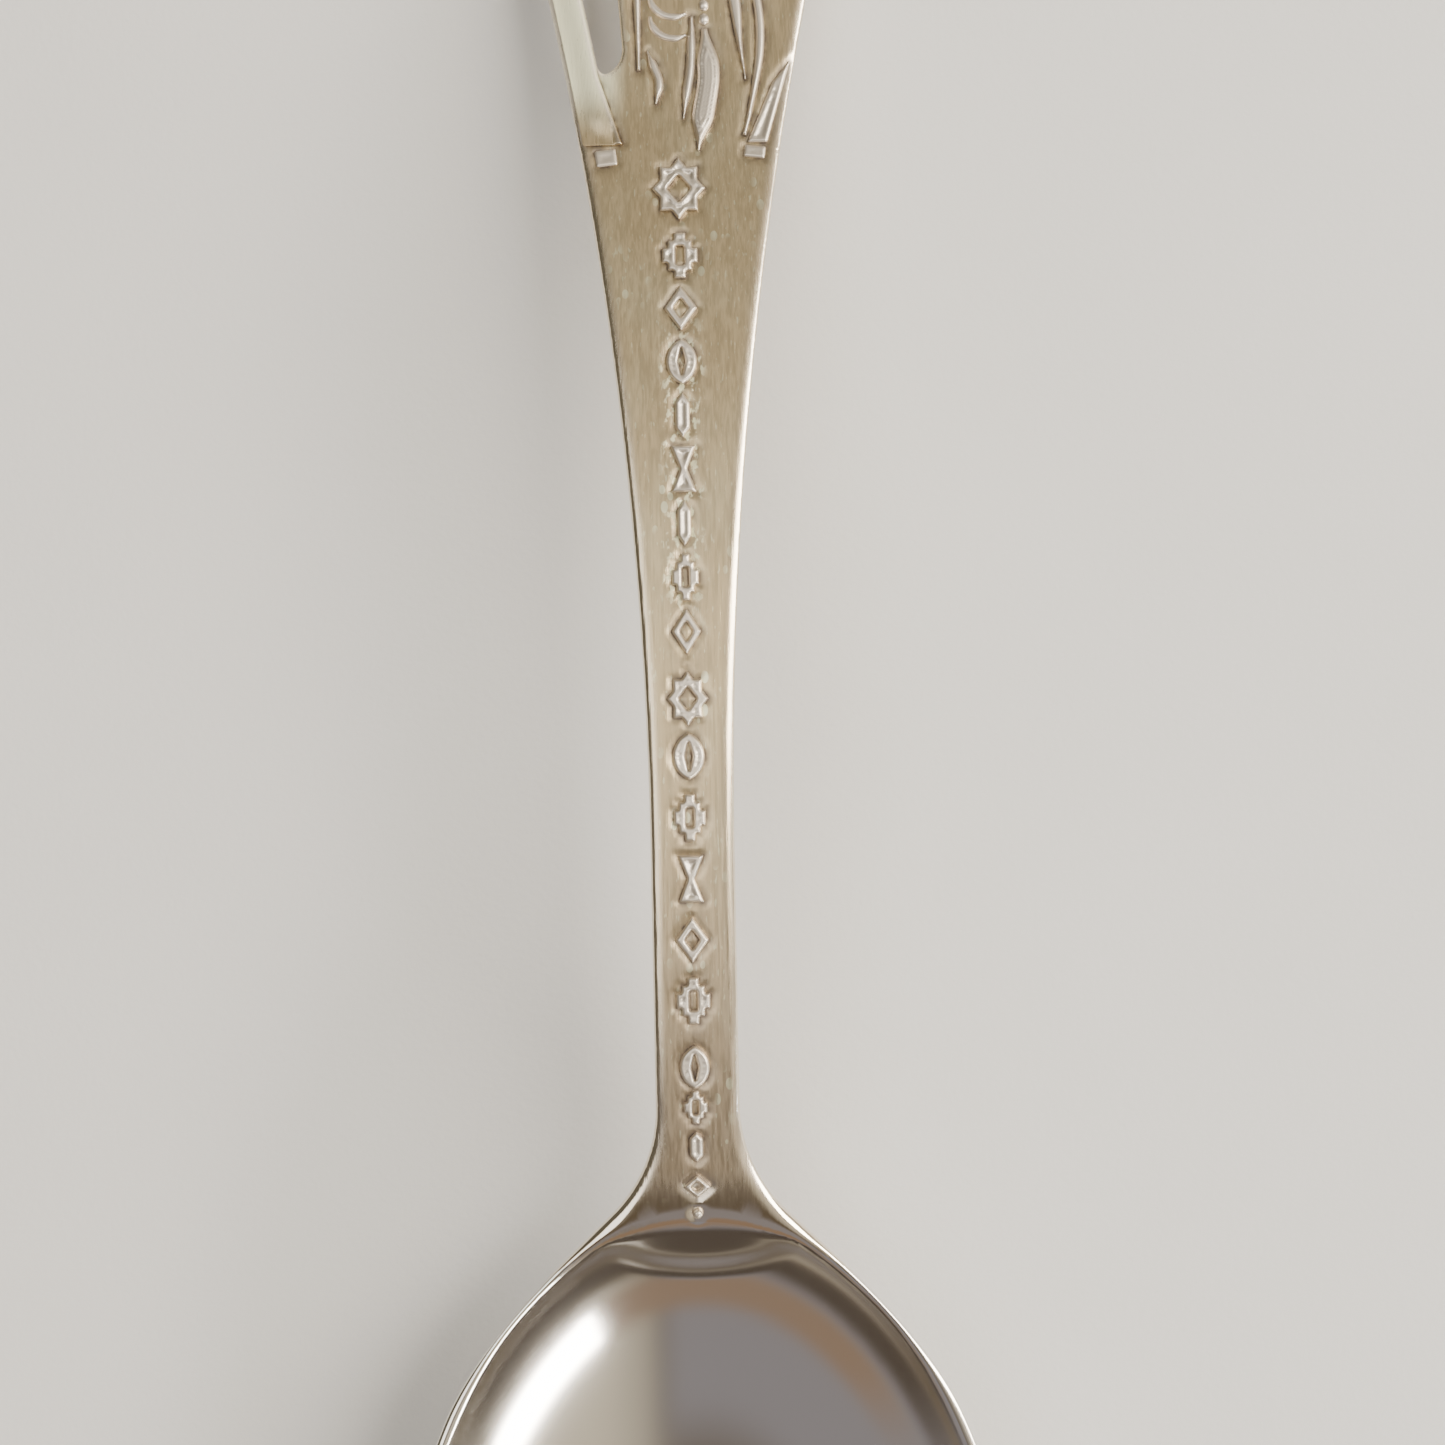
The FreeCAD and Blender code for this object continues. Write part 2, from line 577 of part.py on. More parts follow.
SWAGS = 9
for number in range(SWAGS):
    outer, inner = "Sizes.swag_radius", "(Sizes.swag_radius - Sizes.swag_wire)"
    middle = f"Sizes.swag_low + Sizes.swag_radius + {number} * Sizes.swag_pitch"
    end = "(Sizes.swag_end - Sizes.swag_centre)"
    drape = [
        (f"-{outer}", "0", f"-{outer}"),
        (end, f"-sqrt({outer} ^ 2 - {end} ^ 2)"),
        (end, f"-sqrt({inner} ^ 2 - {end} ^ 2)", inner),
        (f"-{inner}", "0"),
    ]
    raised(f"swag_{number + 1}", [offset("Sizes.swag_centre", middle, drape)])

crescent = [
    ("0", "0", "-Sizes.crescent_outer"),
    ("-Sizes.crescent_lean", "Sizes.crescent_long", "Sizes.crescent_inner"),
]
raised("crescent", [offset("Sizes.crescent_x", "Sizes.crescent_y", crescent)])

BEADS = 16
bead_places = [f"Sizes.bead_low + {number} * Sizes.bead_pitch" for number in range(BEADS)]
raised("braid_beads", circles=[("Sizes.bead_centre", y, "Sizes.bead_across / 2") for y in bead_places])

wide, long = "Sizes.slim_wide", "Sizes.slim_long"
slim = [
    ("0", "0", "-3"),
    (f"{wide}", f"{long} * 0.24"),
    (f"{wide} * 0.76", f"{long} * 0.54"),
    (f"{wide} * 0.82", long),
    (f"{wide} * 0.66", long),
    (f"{wide} * 0.66", f"{long} * 0.69"),
    (f"{wide} * 0.03", f"{long} * 0.33"),
]
raised("slim_feather", [offset("Sizes.slim_x", "Sizes.slim_y", slim)])

wide, long = "Sizes.broad_wide", "Sizes.broad_long"
broad = [
    ("0", "0", "-6"),
    (f"{wide} * 0.58", f"{long} * 0.31"),
    (f"{wide} * 0.85", f"{long} * 0.38", f"-{long} * 0.55"),
    (f"{wide} * 0.45", long),
    (f"{wide} * 0.2", long),
    (f"-{wide} * 0.12", f"{long} * 0.72"),
    (f"-{wide} * 0.02", f"{long} * 0.42"),
]
raised("broad_feather", [offset("Sizes.broad_x", "Sizes.broad_y", broad)])

top, bend, turn = "Sizes.ornament_top", "Sizes.strand_bend", "Sizes.strand_turn"
thin, edge = "Sizes.inner_thin", "Sizes.outer_thin"
inner_strand = [
    ("Sizes.inner_tip_x", "Sizes.strand_low", f"0.2 * {thin}"),
    ("Sizes.inner_bend_x", bend, "Sizes.inner_wide"),
    ("Sizes.inner_turn_x", turn, thin),
    ("Sizes.inner_top_x", top, thin),
]
raised("inner_strand", [ribbon(inner_strand)])
outer_strand = [
    ("Sizes.outer_tip_x", "Sizes.outer_low", edge),
    ("Sizes.outer_elbow_x", "Sizes.outer_elbow", "Sizes.outer_wide"),
    ("Sizes.outer_bend_x", bend, "Sizes.outer_wide"),
    ("Sizes.outer_turn_x", turn, edge),
    ("Sizes.outer_top_x", top, edge),
]
raised("outer_strand", [ribbon(outer_strand)])

# ---------------------------------------------------------------- shield and crest



def around_centre(*radii):
    """Circles around the shield's centre."""
    return [("0", "Derived.head_y", radius) for radius in radii]


raised("shield_rim", circles=around_centre("Sizes.shield_radius", "Sizes.shield_radius - Sizes.shield_band"))
raised("shield_ring", circles=around_centre("Sizes.ring_radius", "Sizes.ring_radius - Sizes.ring_band"))
raised("shield_boss", circles=around_centre("Sizes.boss_radius"))
PIPS = 12
pips = []
for number in range(PIPS):
    angle = f"({360 / PIPS} * {number})"
    pip_x, pip_y = f"Sizes.pip_circle * cos({angle})", f"Derived.head_y + Sizes.pip_circle * sin({angle})"
    pips.append((pip_x, pip_y, "Sizes.pip_radius"))
raised("shield_pips", circles=pips)

CREST_FEATHERS = 7
bow = "-((Sizes.crest_outer - Sizes.crest_inner) ^ 2 + Sizes.crest_width ^ 2) / (4 * Sizes.crest_width)"
feather = [("0", "Sizes.crest_inner", bow), ("0", "Sizes.crest_outer", bow)]
for number in range(CREST_FEATHERS):
    angle = f"{(CREST_FEATHERS - 1) / 2 - number} * Sizes.crest_step"
    raised(f"crest_feather_{number + 1}", [feather], turn=angle)

# ---------------------------------------------------------------- column of motifs


def scaled(corners, wide, tall):
    """Corners given as shares of half the width and half the height."""
    return [(f"{x} * ({wide}) / 2", f"{y} * ({tall}) / 2") for x, y in corners]


RAYS = 8
VALLEY = 0.74  # how far out the notches between rays lie, as a share of the rays' reach
EYE = 0.42  # size of the hollow in the middle of a motif, as a share of the motif


def lozenge(wide, tall, share=1):
    return scaled([(share, 0), (0, share), (-share, 0), (0, -share)], wide, tall)


def sun(wide, tall):
    """Short rays round an open lozenge."""
    rays = []
    for number in range(2 * RAYS):
        reach = 1 if number % 2 == 0 else VALLEY
        angle = math.pi * number / RAYS
        rays.append((round(reach * math.cos(angle), 4), round(reach * math.sin(angle), 4)))
    return [scaled(rays, wide, tall), lozenge(wide, tall, EYE)]


def steps(wide, tall):
    """A stepped lozenge with a slot."""
    right = [(0.34, -1), (0.34, -0.66), (0.68, -0.66), (0.68, -0.33), (1, -0.33)]
    right += [(x, -y) for x, y in reversed(right)]
    slot = [(0.22, -0.4), (0.22, 0.4), (-0.22, 0.4), (-0.22, -0.4)]
    return [scaled(right + [(-x, y) for x, y in reversed(right)], wide, tall), scaled(slot, wide, tall)]


def hourglass(wide, tall):
    return [scaled([(1, -1), (0.3, 0), (1, 1), (-1, 1), (-0.3, 0), (-1, -1)], wide, tall)]


def leaf(wide, tall):
    """A leaf of two arcs with a slit along its middle."""
    bow = f"-(({wide}) ^ 2 + ({tall}) ^ 2) / (4 * ({wide}))"
    half = f"({tall}) / 2"
    slit = [(0.22, 0), (0, 0.62), (-0.22, 0), (0, -0.62)]
    return [[("0", f"-{half}", bow), ("0", half, bow)], scaled(slit, wide, tall)]


def spindle(wide, tall):
    return [scaled([(1, -0.55), (1, 0.55), (0, 1), (-1, 0.55), (-1, -0.55), (0, -1)], wide, tall)]


def open_lozenge(wide, tall):
    return [lozenge(wide, tall), lozenge(wide, tall, EYE)]


# Each row is the Y of its first motif, its pitch, and a (shape, width, height) for each motif.
TALL = "Sizes.mark_height"
UPPER = [(steps, 1.8), (open_lozenge, 1.7), (leaf, 1.55), (spindle, 0.76)]
UPPER += [(hourglass, 1.3), (spindle, 0.7), (steps, 1.35), (open_lozenge, 1.5)]
MIDDLE = [(leaf, 1.6), (steps, 1.6), (hourglass, 1.3), (open_lozenge, 1.7), (steps, 1.7)]
LOWER = [(leaf, 1.5, "2.2"), (steps, 1.2, "1.7"), (spindle, 0.7, "1.6"), (open_lozenge, 1.4, "1.2")]
ROWS = [
    ("Sizes.first_initial", "0", [(sun, 2.75, "3.3")]),
    ("Sizes.upper_first", "Sizes.upper_pitch", [shape + (TALL,) for shape in UPPER]),
    ("Sizes.second_initial", "0", [(sun, 2.1, "2.8")]),
    ("Sizes.middle_first", "Sizes.middle_pitch", [shape + (TALL,) for shape in MIDDLE]),
    ("Sizes.lower_first", "Sizes.lower_pitch", LOWER),
]
count = 0
for first, pitch, shapes in ROWS:
    for place, (shape, wide, tall) in enumerate(shapes):
        count += 1
        y = f"({first} - {place} * {pitch})"
        outlines = [offset("Sizes.mark_centre", y, corners) for corners in shape(str(wide), tall)]
        raised(f"motif_{count:02d}_{shape.__name__}", outlines)
raised("end_bead", circles=[("Sizes.mark_centre", "Sizes.end_bead_y", "Sizes.bead_radius")])

# ---------------------------------------------------------------- check and write

doc.recompute()
for item in doc.Objects:
    if "Invalid" in item.State or "Error" in item.State:
        raise RuntimeError(f"{item.Name} failed: {item.State}")
os.makedirs("parts", exist_ok=True)
for name, item in nodes.items():
    item.Label = name
    if item.Shape.isNull() or not item.Shape.isValid() or item.Shape.Volume <= 0:
        raise RuntimeError(f"{name} has no valid solid")
    item.Shape.exportStep(f"parts/{name}.step")
    print(name, len(item.Shape.Solids), round(item.Shape.Volume, 3))
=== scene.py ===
"""Souvenir spoon in struck silver: a polished bowl, an arched handle with a column of raised motifs, and a
pierced head with a shield. Lengths in the shape functions are millimetres, and meshes are made in metres."""

import math
from types import SimpleNamespace

import bmesh
import bpy
import numpy as np
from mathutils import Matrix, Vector, geometry, kdtree


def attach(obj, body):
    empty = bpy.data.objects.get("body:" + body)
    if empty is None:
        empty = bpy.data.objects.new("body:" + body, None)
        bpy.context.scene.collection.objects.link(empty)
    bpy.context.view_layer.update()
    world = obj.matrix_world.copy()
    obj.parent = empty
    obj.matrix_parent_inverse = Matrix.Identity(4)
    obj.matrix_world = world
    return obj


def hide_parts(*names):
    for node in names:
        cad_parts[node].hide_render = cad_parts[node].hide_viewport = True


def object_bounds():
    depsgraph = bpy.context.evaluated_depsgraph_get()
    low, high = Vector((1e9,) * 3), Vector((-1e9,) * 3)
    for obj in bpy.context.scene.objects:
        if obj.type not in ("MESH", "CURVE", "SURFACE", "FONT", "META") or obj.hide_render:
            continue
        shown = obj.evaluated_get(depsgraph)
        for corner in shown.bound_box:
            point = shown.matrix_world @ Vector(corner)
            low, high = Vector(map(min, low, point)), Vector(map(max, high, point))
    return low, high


bl_info = {
    "name": "Souvenir Spoon",
    "version": (1, 0, 0),
    "blender": (4, 5, 0),
    "location": "View3D > Sidebar > Spoon",
    "description": "Builds a struck silver souvenir spoon around its CAD frame",
    "category": "Object",
}

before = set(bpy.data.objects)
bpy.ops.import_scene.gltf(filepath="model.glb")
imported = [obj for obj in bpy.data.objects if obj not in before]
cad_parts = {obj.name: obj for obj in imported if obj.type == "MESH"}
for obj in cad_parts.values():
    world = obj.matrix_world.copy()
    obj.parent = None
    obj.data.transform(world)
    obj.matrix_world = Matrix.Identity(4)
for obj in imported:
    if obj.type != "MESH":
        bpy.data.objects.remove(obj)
CAD_BOX = [list(corner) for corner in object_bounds()]
MM = 0.001


def length(name, millimetres, description):
    return bpy.props.FloatProperty(
        name=name, description=description, default=millimetres * MM, unit="LENGTH", precision=5
    )


def colour(name, rgb, description):
    return bpy.props.FloatVectorProperty(
        name=name, description=description, default=rgb, size=3, min=0, max=1, subtype="COLOR"
    )


def amount(name, value, description):
    return bpy.props.FloatProperty(
        name=name, description=description, default=value, min=0, max=1, subtype="FACTOR"
    )


class SpoonSideSizes(bpy.types.PropertyGroup):
    """The side view: a row of arcs that are tangent where they meet."""

    half_length: length("Half length", CAD_BOX[1][1] / MM, "From the origin to either end of the spoon")
    arch_top: length("Arch top", 11.1, "Height of the handle's top face at the origin")
    arch_radius: length("Arch radius", 97.7, "Radius of the arched top face")
    under_radius: length("Back radius", 106.0, "Radius of the arched back")
    arch_thick: length("Arch thickness", 2.3, "Thickness at the top of the arch")
    head_thick: length("Head thickness", 1.5, "Thickness of the head")
    head_flat: length("Flat head", 60.0, "Y from which the head lies flat")
    junction: length("Junction", -21.0, "Y where the arch meets the rim's curve")
    rim_radius: length("Rim radius", 80.0, "Radius of the rim next to the neck")
    tip_radius: length("Tip radius", 400.0, "Radius of the rim towards the tip")
    web: length("Flare thickness", 1.3, "Thickness of the flare beside the neck")
    heel_end: length("Heel end", -28.0, "Y where the neck's underside meets the bowl's back")
    heel_low: length("Heel height", 3.2, "Height of that point")
    heel_curve: length("Heel radius", 60.0, "Radius of the neck's underside as it runs down the bowl")


class SpoonPlanSizes(bpy.types.PropertyGroup):
    """The spoon seen from above."""

    bowl_centre: length("Bowl centre", -44.655, "Y of the middle of the bowl")
    bowl_across: length("Bowl half width", 18.62, "Half width of the ellipsoid that the bowl is the cap of")
    bowl_along: length("Bowl half length", 25.98, "Half length of that ellipsoid")
    bowl_height: length("Bowl half height", 14.0, "Half height of that ellipsoid")
    bowl_wall: length("Bowl wall", 0.85, "Thickness of the bowl")
    neck_half: length("Neck half width", 2.08, "Half width of the neck")
    neck_top: length("Neck top", -3.0, "Y where the handle starts to widen")
    neck_foot: length("Neck foot", -15.6, "Y where the neck starts to flare into the bowl")
    fillet: length("Flare radius", 7.6, "Radius of the flare between neck and bowl")
    fillet_end: length("Flare end", -21.1, "Y where that radius ends")
    bowl_join: length("Bowl join", -27.5, "Y where the flare has run into the bowl's outline")
    side_radius: length("Side radius", 211.0, "Radius of the handle's widening sides")
    head_radius: length("Head radius", 10.502, "Radius of the head's end")
    split: length("Head joint", 32.2, "Y of the joint between stem and head")
    rail_width: length("Rail width", 1.7, "Width of the head's rail beside the windows")
    window_round: length("Window width", 2.0, "Width of a window around the shield")
    window_join: length("Window join", 3.9, "X where a window starts to follow the shield")
    left_foot: length("Left window foot", 36.25, "Y of the left window's lower end")
    right_foot: length("Right window foot", 43.5, "Y of the right window's lower end")


class SpoonReliefSizes(bpy.types.PropertyGroup):
    """The raised ornament and the edges."""

    relief: length("Relief", 0.25, "Height of the raised ornament")
    shoulder: length("Relief edge", 0.17, "Width of an ornament's rounded edge")
    moat: length("Moat", 0.07, "Depth to which the face is sunk beside an ornament")
    moat_width: length("Moat width", 0.24, "Width of that sunk line")
    edge_width: length("Edge width", 0.46, "Width of the handle's rounded upper edge")
    edge_drop: length("Edge drop", 0.3, "Height of that edge")
    motif_x: length("Motif column", -0.1, "X of the column of motifs")
    motif_height: length("Motif height", 2.36, "Height of a motif in the upper and middle rows")
    shield_radius: length("Shield radius", 6.0, "Outer radius of the shield's rim")
    bead_pitch: length("Bead pitch", 0.73, "Spacing of the beads on the braid")
    swag_pitch: length("Strand pitch", 1.12, "Spacing of the draped strands")


class SpoonFinish(bpy.types.PropertyGroup):
    """Colours of the silver, and how worn it is."""

    satin: colour("Satin silver", (0.61, 0.49, 0.30), "Silver of the handle's face")
    satin_low: colour("Neck silver", (0.535, 0.43, 0.305), "Browner silver towards the bowl")
    polished: colour("Polished silver", (0.84, 0.755, 0.64), "Silver of the bowl")
    pale: colour("Pale silver", (0.94, 0.955, 0.69), "Greenish silver where the head is rubbed")
    # this colour is tarnish and also painted shade, laid on the relief's slopes, at the beads' feet and in
    # the line beside the relief
    tarnish: colour("Tarnish", (0.105, 0.088, 0.088), "Pinkish grey dirt beside the relief")
    scratches: amount("Scratches", 0.55, "Strength of the lengthwise brushing")


def millimetres(group):
    """The lengths of a property group, as plain numbers in millimetres."""
    return SimpleNamespace(**{key: getattr(group, key) / MM for key in type(group).__annotations__})


# ---------------------------------------------------------------- the spoon's faces and outline as formulas


def smooth_min(a, b, blend):
    share = np.clip(0.5 + (b - a) / (2 * blend), 0, 1)
    return b + (a - b) * share - blend * share * (1 - share)


def smooth_max(a, b, blend):
    return -smooth_min(-a, -b, blend)


def ramp(value, start, end):
    """0 before start, 1 after end, and smooth between them."""
    share = np.clip((value - start) / (end - start), 0, 1)
    return share * share * (3 - 2 * share)


def rounding(distance, width, drop):
    """How far a rounded edge lies below its face, at this distance from the outline."""
    inward = 1 - np.clip(distance / width, 0, 1)
    return drop * (1 - np.sqrt(np.maximum(1 - inward**2, 0)))


def arc_points(centre, radius, start, end, spacing=0.1):
    """Points on an arc about a centre, between two angles."""
    count = max(int(abs(end - start) * radius / spacing), 4)
    angles = np.linspace(start, end, count)
    return np.stack([centre[0] + radius * np.cos(angles), centre[1] + radius * np.sin(angles)], 1)


def angle_about(centre, x, y):
    return math.atan2(y - centre[1], x - centre[0])


def evenly(points, spacing, closed=True):
    """The same line with its points a constant distance apart."""
    line = np.vstack([points, points[:1]]) if closed else np.asarray(points, float)
    steps = np.linalg.norm(np.diff(line, axis=0), axis=1)
    keep = np.concatenate([[True], steps > 1e-9])
    line, run = line[keep], np.concatenate([[0], np.cumsum(steps[steps > 1e-9])])
    count = max(int(round(run[-1] / spacing)), 8)
    places = np.linspace(0, run[-1], count + 1)[: count if closed else count + 1]
    return np.stack([np.interp(places, run, line[:, axis]) for axis in (0, 1)], 1)


def softened(loop, rounds):
    """A closed line with its corners worn round."""
    for _ in range(rounds):
        loop = loop / 2 + (np.roll(loop, 1, 0) + np.roll(loop, -1, 0)) / 4
    return loop


# The tongue that juts from the neck into the bowl's hollow.
TONGUE_HALF_WIDTH = 5.0
TONGUE_LENGTH = 2.4
TONGUE_SLOPE = 0.76
TONGUE_HOLLOW = 0.022
TONGUE_FALL = 0.8
TONGUE_SOFTNESS = 0.03
FACE_ABOVE_JUNCTION = 0.9  # from here up the face is plain

# How softly the faces run into each other.
MOUTH_BLEND = 0.7
CREASE_BLEND = 0.22
CREASE_MIDDLE_BLEND = 0.34
CREASE_MIDDLE_WIDTH = 4.5
WEB_BLEND = 0.35
BACK_BLEND = 0.3

# The heel under the neck, which narrows as it runs down the bowl's back.
HEEL_TAPER = 3.2
HEEL_FLAT_SHARE = 0.55
HEEL_SIDE_RISE = 0.9
HEEL_END_RISE = 4
HEEL_END_MARGIN = 1.2
BACK_FLARE_LENGTH = 2.5

CREST_ANGLE = math.acos(0.87)  # where rails and windows end beside the crest
WINDOW_FOOT_X = {"left": 2.83, "right": 3.18}  # inner corner of each window's lower end


class SpoonForm:
    """Top face, back and outline of the blank, worked out from the sizes."""

    def __init__(self, scene):
        self.side = side = millimetres(scene.spoon_side)
        self.plan = plan = millimetres(scene.spoon_plan)
        self.relief = millimetres(scene.spoon_relief)
        self.arch_z = side.arch_top - side.arch_radius
        self.sweep = self.sweep_radius(side.arch_top - side.head_thick, side.arch_radius)
        self.bend = side.head_flat * side.arch_radius / (side.arch_radius + self.sweep)
        self.under_top = side.arch_top - side.arch_thick
        self.under_sweep = self.sweep_radius(self.under_top, side.under_radius)
        self.under_bend = side.head_flat * side.under_radius / (side.under_radius + self.under_sweep)
        lean = side.junction / side.arch_radius
        self.rim_y = (side.arch_radius + side.rim_radius) * lean
        self.rim_z = self.arch_z + (side.arch_radius + side.rim_radius) * math.sqrt(1 - lean**2)
        self.head_y = side.half_length - plan.head_radius
        self.flare_x = plan.neck_half + plan.side_radius
        share = plan.head_radius / (plan.side_radius + plan.head_radius)
        self.touch = (self.flare_x * share, self.head_y + (plan.neck_top - self.head_y) * share)

    def sweep_radius(self, fall, radius):
        """Radius of the hollow arc that takes an arched line down by fall to the level head."""
        return self.side.head_flat**2 / (2 * fall) - radius + fall / 2

    def face(self, y):
        """Height of the top face, the same all across the spoon."""
        side, sweep = self.side, self.sweep
        arch = self.arch_z + np.sqrt(side.arch_radius**2 - np.clip(y, side.junction, self.bend) ** 2)
        fall = np.clip(y, self.bend, side.head_flat) - side.head_flat
        hollow = side.head_thick + sweep - np.sqrt(sweep**2 - fall**2)
        dip = np.clip(y, self.rim_y, side.junction) - self.rim_y
        rim = self.rim_z - np.sqrt(side.rim_radius**2 - dip**2)
        low = self.rim_z - side.rim_radius + side.tip_radius
        tip = low - np.sqrt(side.tip_radius**2 - (np.minimum(y, self.rim_y) - self.rim_y) ** 2)
        return np.select([y > self.bend, y > side.junction, y > self.rim_y], [hollow, arch, rim], tip)

    def under(self, y):
        """Height of the arched back of the handle."""
        side, sweep = self.side, self.under_sweep
        arch = self.under_top - side.under_radius
        arch = arch + np.sqrt(side.under_radius**2 - np.clip(y, -side.half_length, self.under_bend) ** 2)
        fall = np.clip(y, self.under_bend, side.head_flat) - side.head_flat
        hollow = sweep - np.sqrt(sweep**2 - fall**2)
        return np.where(y > self.under_bend, hollow, arch)

    def bowl_cap(self, x, y, inset, down):
        """The lower half of the bowl's ellipsoid, made smaller by inset across and by down in height."""
        plan = self.plan
        across = (x / (plan.bowl_across - inset)) ** 2
        along = ((y - plan.bowl_centre) / (plan.bowl_along - inset)) ** 2
        return plan.bowl_height - (plan.bowl_height - down) * np.sqrt(np.clip(1 - across - along, 0, 1))

    def top(self, x, y):
        """The top face with the bowl's hollow, and the tongue that juts into it below the neck."""
        face, side = self.face(y), self.side
        hollow = self.bowl_cap(x, y, 0.5 * self.plan.bowl_wall, self.plan.bowl_wall)
        below = side.junction - y
        past = np.sqrt((x / TONGUE_HALF_WIDTH) ** 2 + (np.maximum(below, 0) / TONGUE_LENGTH) ** 2) - 1.0
        tongue = float(self.face(side.junction)) - TONGUE_SLOPE * below + TONGUE_HOLLOW * x**2
        tongue = tongue - TONGUE_FALL * (past + np.sqrt(past**2 + TONGUE_SOFTNESS))
        mouth = smooth_max(hollow, tongue, MOUTH_BLEND)
        blend = CREASE_BLEND + CREASE_MIDDLE_BLEND * np.exp(-((x / CREASE_MIDDLE_WIDTH) ** 2))
        plain = y > side.junction + FACE_ABOVE_JUNCTION
        return np.where(plain, face, smooth_min(face, mouth, blend))

    def back(self, x, y):
        """The back: arched under the handle, an ellipsoid under the bowl, and a heel between them."""
        side, plan = self.side, self.plan
        across, under = np.abs(x), self.under(y)
        drop = side.heel_low - float(self.under(plan.neck_foot))
        reach = side.heel_end - plan.neck_foot
        share = np.clip((y - plan.neck_foot) / reach, 0, 1)
        sag = reach**2 / (8 * side.heel_curve)
        heel = float(self.under(plan.neck_foot)) + drop * share + 4 * sag * share * (1 - share)
        half = plan.neck_half * np.sqrt(np.clip((y - side.heel_end) / HEEL_TAPER, 0.02, 1))
        outside = np.maximum(across - HEEL_FLAT_SHARE * half, 0)
        heel = heel + HEEL_SIDE_RISE * outside**2 * ramp(share, 0, 0.35)
        heel = heel + HEEL_END_RISE * np.maximum(side.heel_end + HEEL_END_MARGIN - y, 0)
        web = self.face(y) - side.web
        bowl = self.bowl_cap(x, y, 0, 0)
        flare = smooth_min(smooth_min(web, heel, WEB_BLEND), bowl, BACK_BLEND)
        ends = ramp(y, plan.neck_foot, plan.neck_foot - BACK_FLARE_LENGTH)
        return np.where(y > plan.neck_foot, under, under + (flare - under) * ends)

    def side_x(self, y, inset=0.0):
        """X of the handle's right side, moved inwards by inset."""
        return self.flare_x - np.sqrt((self.plan.side_radius + inset) ** 2 - (y - self.plan.neck_top) ** 2)

    def bowl_outline(self):
        """The right half of the bowl's edge, from the tip up to where the flare joins it."""
        plan = self.plan
        turn = np.linspace(-math.pi / 2, math.pi / 4, 900)
        reach = 1 / np.sqrt((np.cos(turn) / plan.bowl_across) ** 2 + (np.sin(turn) / plan.bowl_along) ** 2)
        edge = 0.9 * reach
        for _ in range(12):
            y = plan.bowl_centre + edge * np.sin(turn)
            level = (plan.bowl_height - self.face(y) + self.relief.edge_drop) / plan.bowl_height
            edge = reach * np.sqrt(np.clip(1 - level**2, 0, 1))
        points = np.stack([edge * np.cos(turn), plan.bowl_centre + edge * np.sin(turn)], 1)
        points[0, 0] = 0
        return points[points[:, 1] < plan.bowl_join]

    def outline(self, spacing=0.12):
        """The closed line round the whole spoon, counter-clockwise from the tip."""
        plan = self.plan
        bowl = self.bowl_outline()
        slope = (bowl[-1] - bowl[-8])[0] / (bowl[-1] - bowl[-8])[1]
        root = math.sqrt(plan.fillet**2 - (plan.fillet_end - plan.neck_foot) ** 2)
        start = np.array([plan.neck_half + plan.fillet - root, plan.fillet_end])
        start_slope = (plan.fillet_end - plan.neck_foot) / root
        share, rise = np.linspace(0, 1, 60), start[1] - bowl[-1, 1]
        x = (2 * share**3 - 3 * share**2 + 1) * bowl[-1, 0] + (3 * share**2 - 2 * share**3) * start[0]
        x += (share**3 - 2 * share**2 + share) * rise * slope + (share**3 - share**2) * rise * start_slope
        shoulder = np.stack([x, bowl[-1, 1] + share * rise], 1)
        hub = (plan.neck_half + plan.fillet, plan.neck_foot)
        flare = arc_points(hub, plan.fillet, angle_about(hub, *start), -math.pi)
        far = (self.flare_x, plan.neck_top)
        sides = arc_points(far, plan.side_radius, math.pi, angle_about(far, *self.touch))
        hub = (0, self.head_y)
        end = arc_points(hub, plan.head_radius, angle_about(hub, *self.touch), math.pi / 2)
        right = np.vstack([bowl, shoulder[1:], flare[1:], sides, end[1:]])
        right[-1, 0] = 0
        left = right[::-1][1:-1] * [-1, 1]
        return evenly(np.vstack([right, left]), spacing)

    def rail_run(self, start, inset):
        """A line beside the handle's right edge, from Y = start round the head to the crest."""
        plan = self.plan
        far, hub = (self.flare_x, plan.neck_top), (0, self.head_y)
        radius, reach = plan.side_radius + inset, plan.head_radius - inset
        touch = angle_about(hub, *self.touch)
        low = math.pi - math.asin((start - plan.neck_top) / radius)
        along = arc_points(far, radius, low, math.pi + touch)
        return np.vstack([along, arc_points(hub, reach, touch, CREST_ANGLE)[1:]])

    def window(self, foot, foot_x):
        """A right-hand window between rail, middle panel and shield."""
        plan, hub = self.plan, (0, self.head_y)
        inner = plan.head_radius - plan.rail_width - plan.window_round
        low = -math.acos(plan.window_join / inner)
        rim = arc_points(hub, inner, CREST_ANGLE, low)
        slope = [(foot_x, foot + 1.25), (foot_x + 0.12, foot + 0.75), (foot_x + 0.45, foot + 0.3)]
        corner = [(float(self.side_x(foot, plan.rail_width)) - 0.28, foot)]
        loop = np.vstack([self.rail_run(foot + 0.3, plan.rail_width), rim, slope, corner])
        return softened(evenly(loop, 0.1), 5)

    def windows(self):
        plan = self.plan
        left = self.window(plan.left_foot, WINDOW_FOOT_X["left"]) * [-1, 1]
        return [left, self.window(plan.right_foot, WINDOW_FOOT_X["right"])]


# ---------------------------------------------------------------- meshing an area between a top and a bottom


def wound(loop, counter_clockwise):
    """The loop, going round the way that is asked."""
    x, y = loop[:, 0], loop[:, 1]
    area = np.sum(x * np.roll(y, -1) - np.roll(x, -1) * y)
    return loop if (area > 0) == counter_clockwise else loop[::-1]


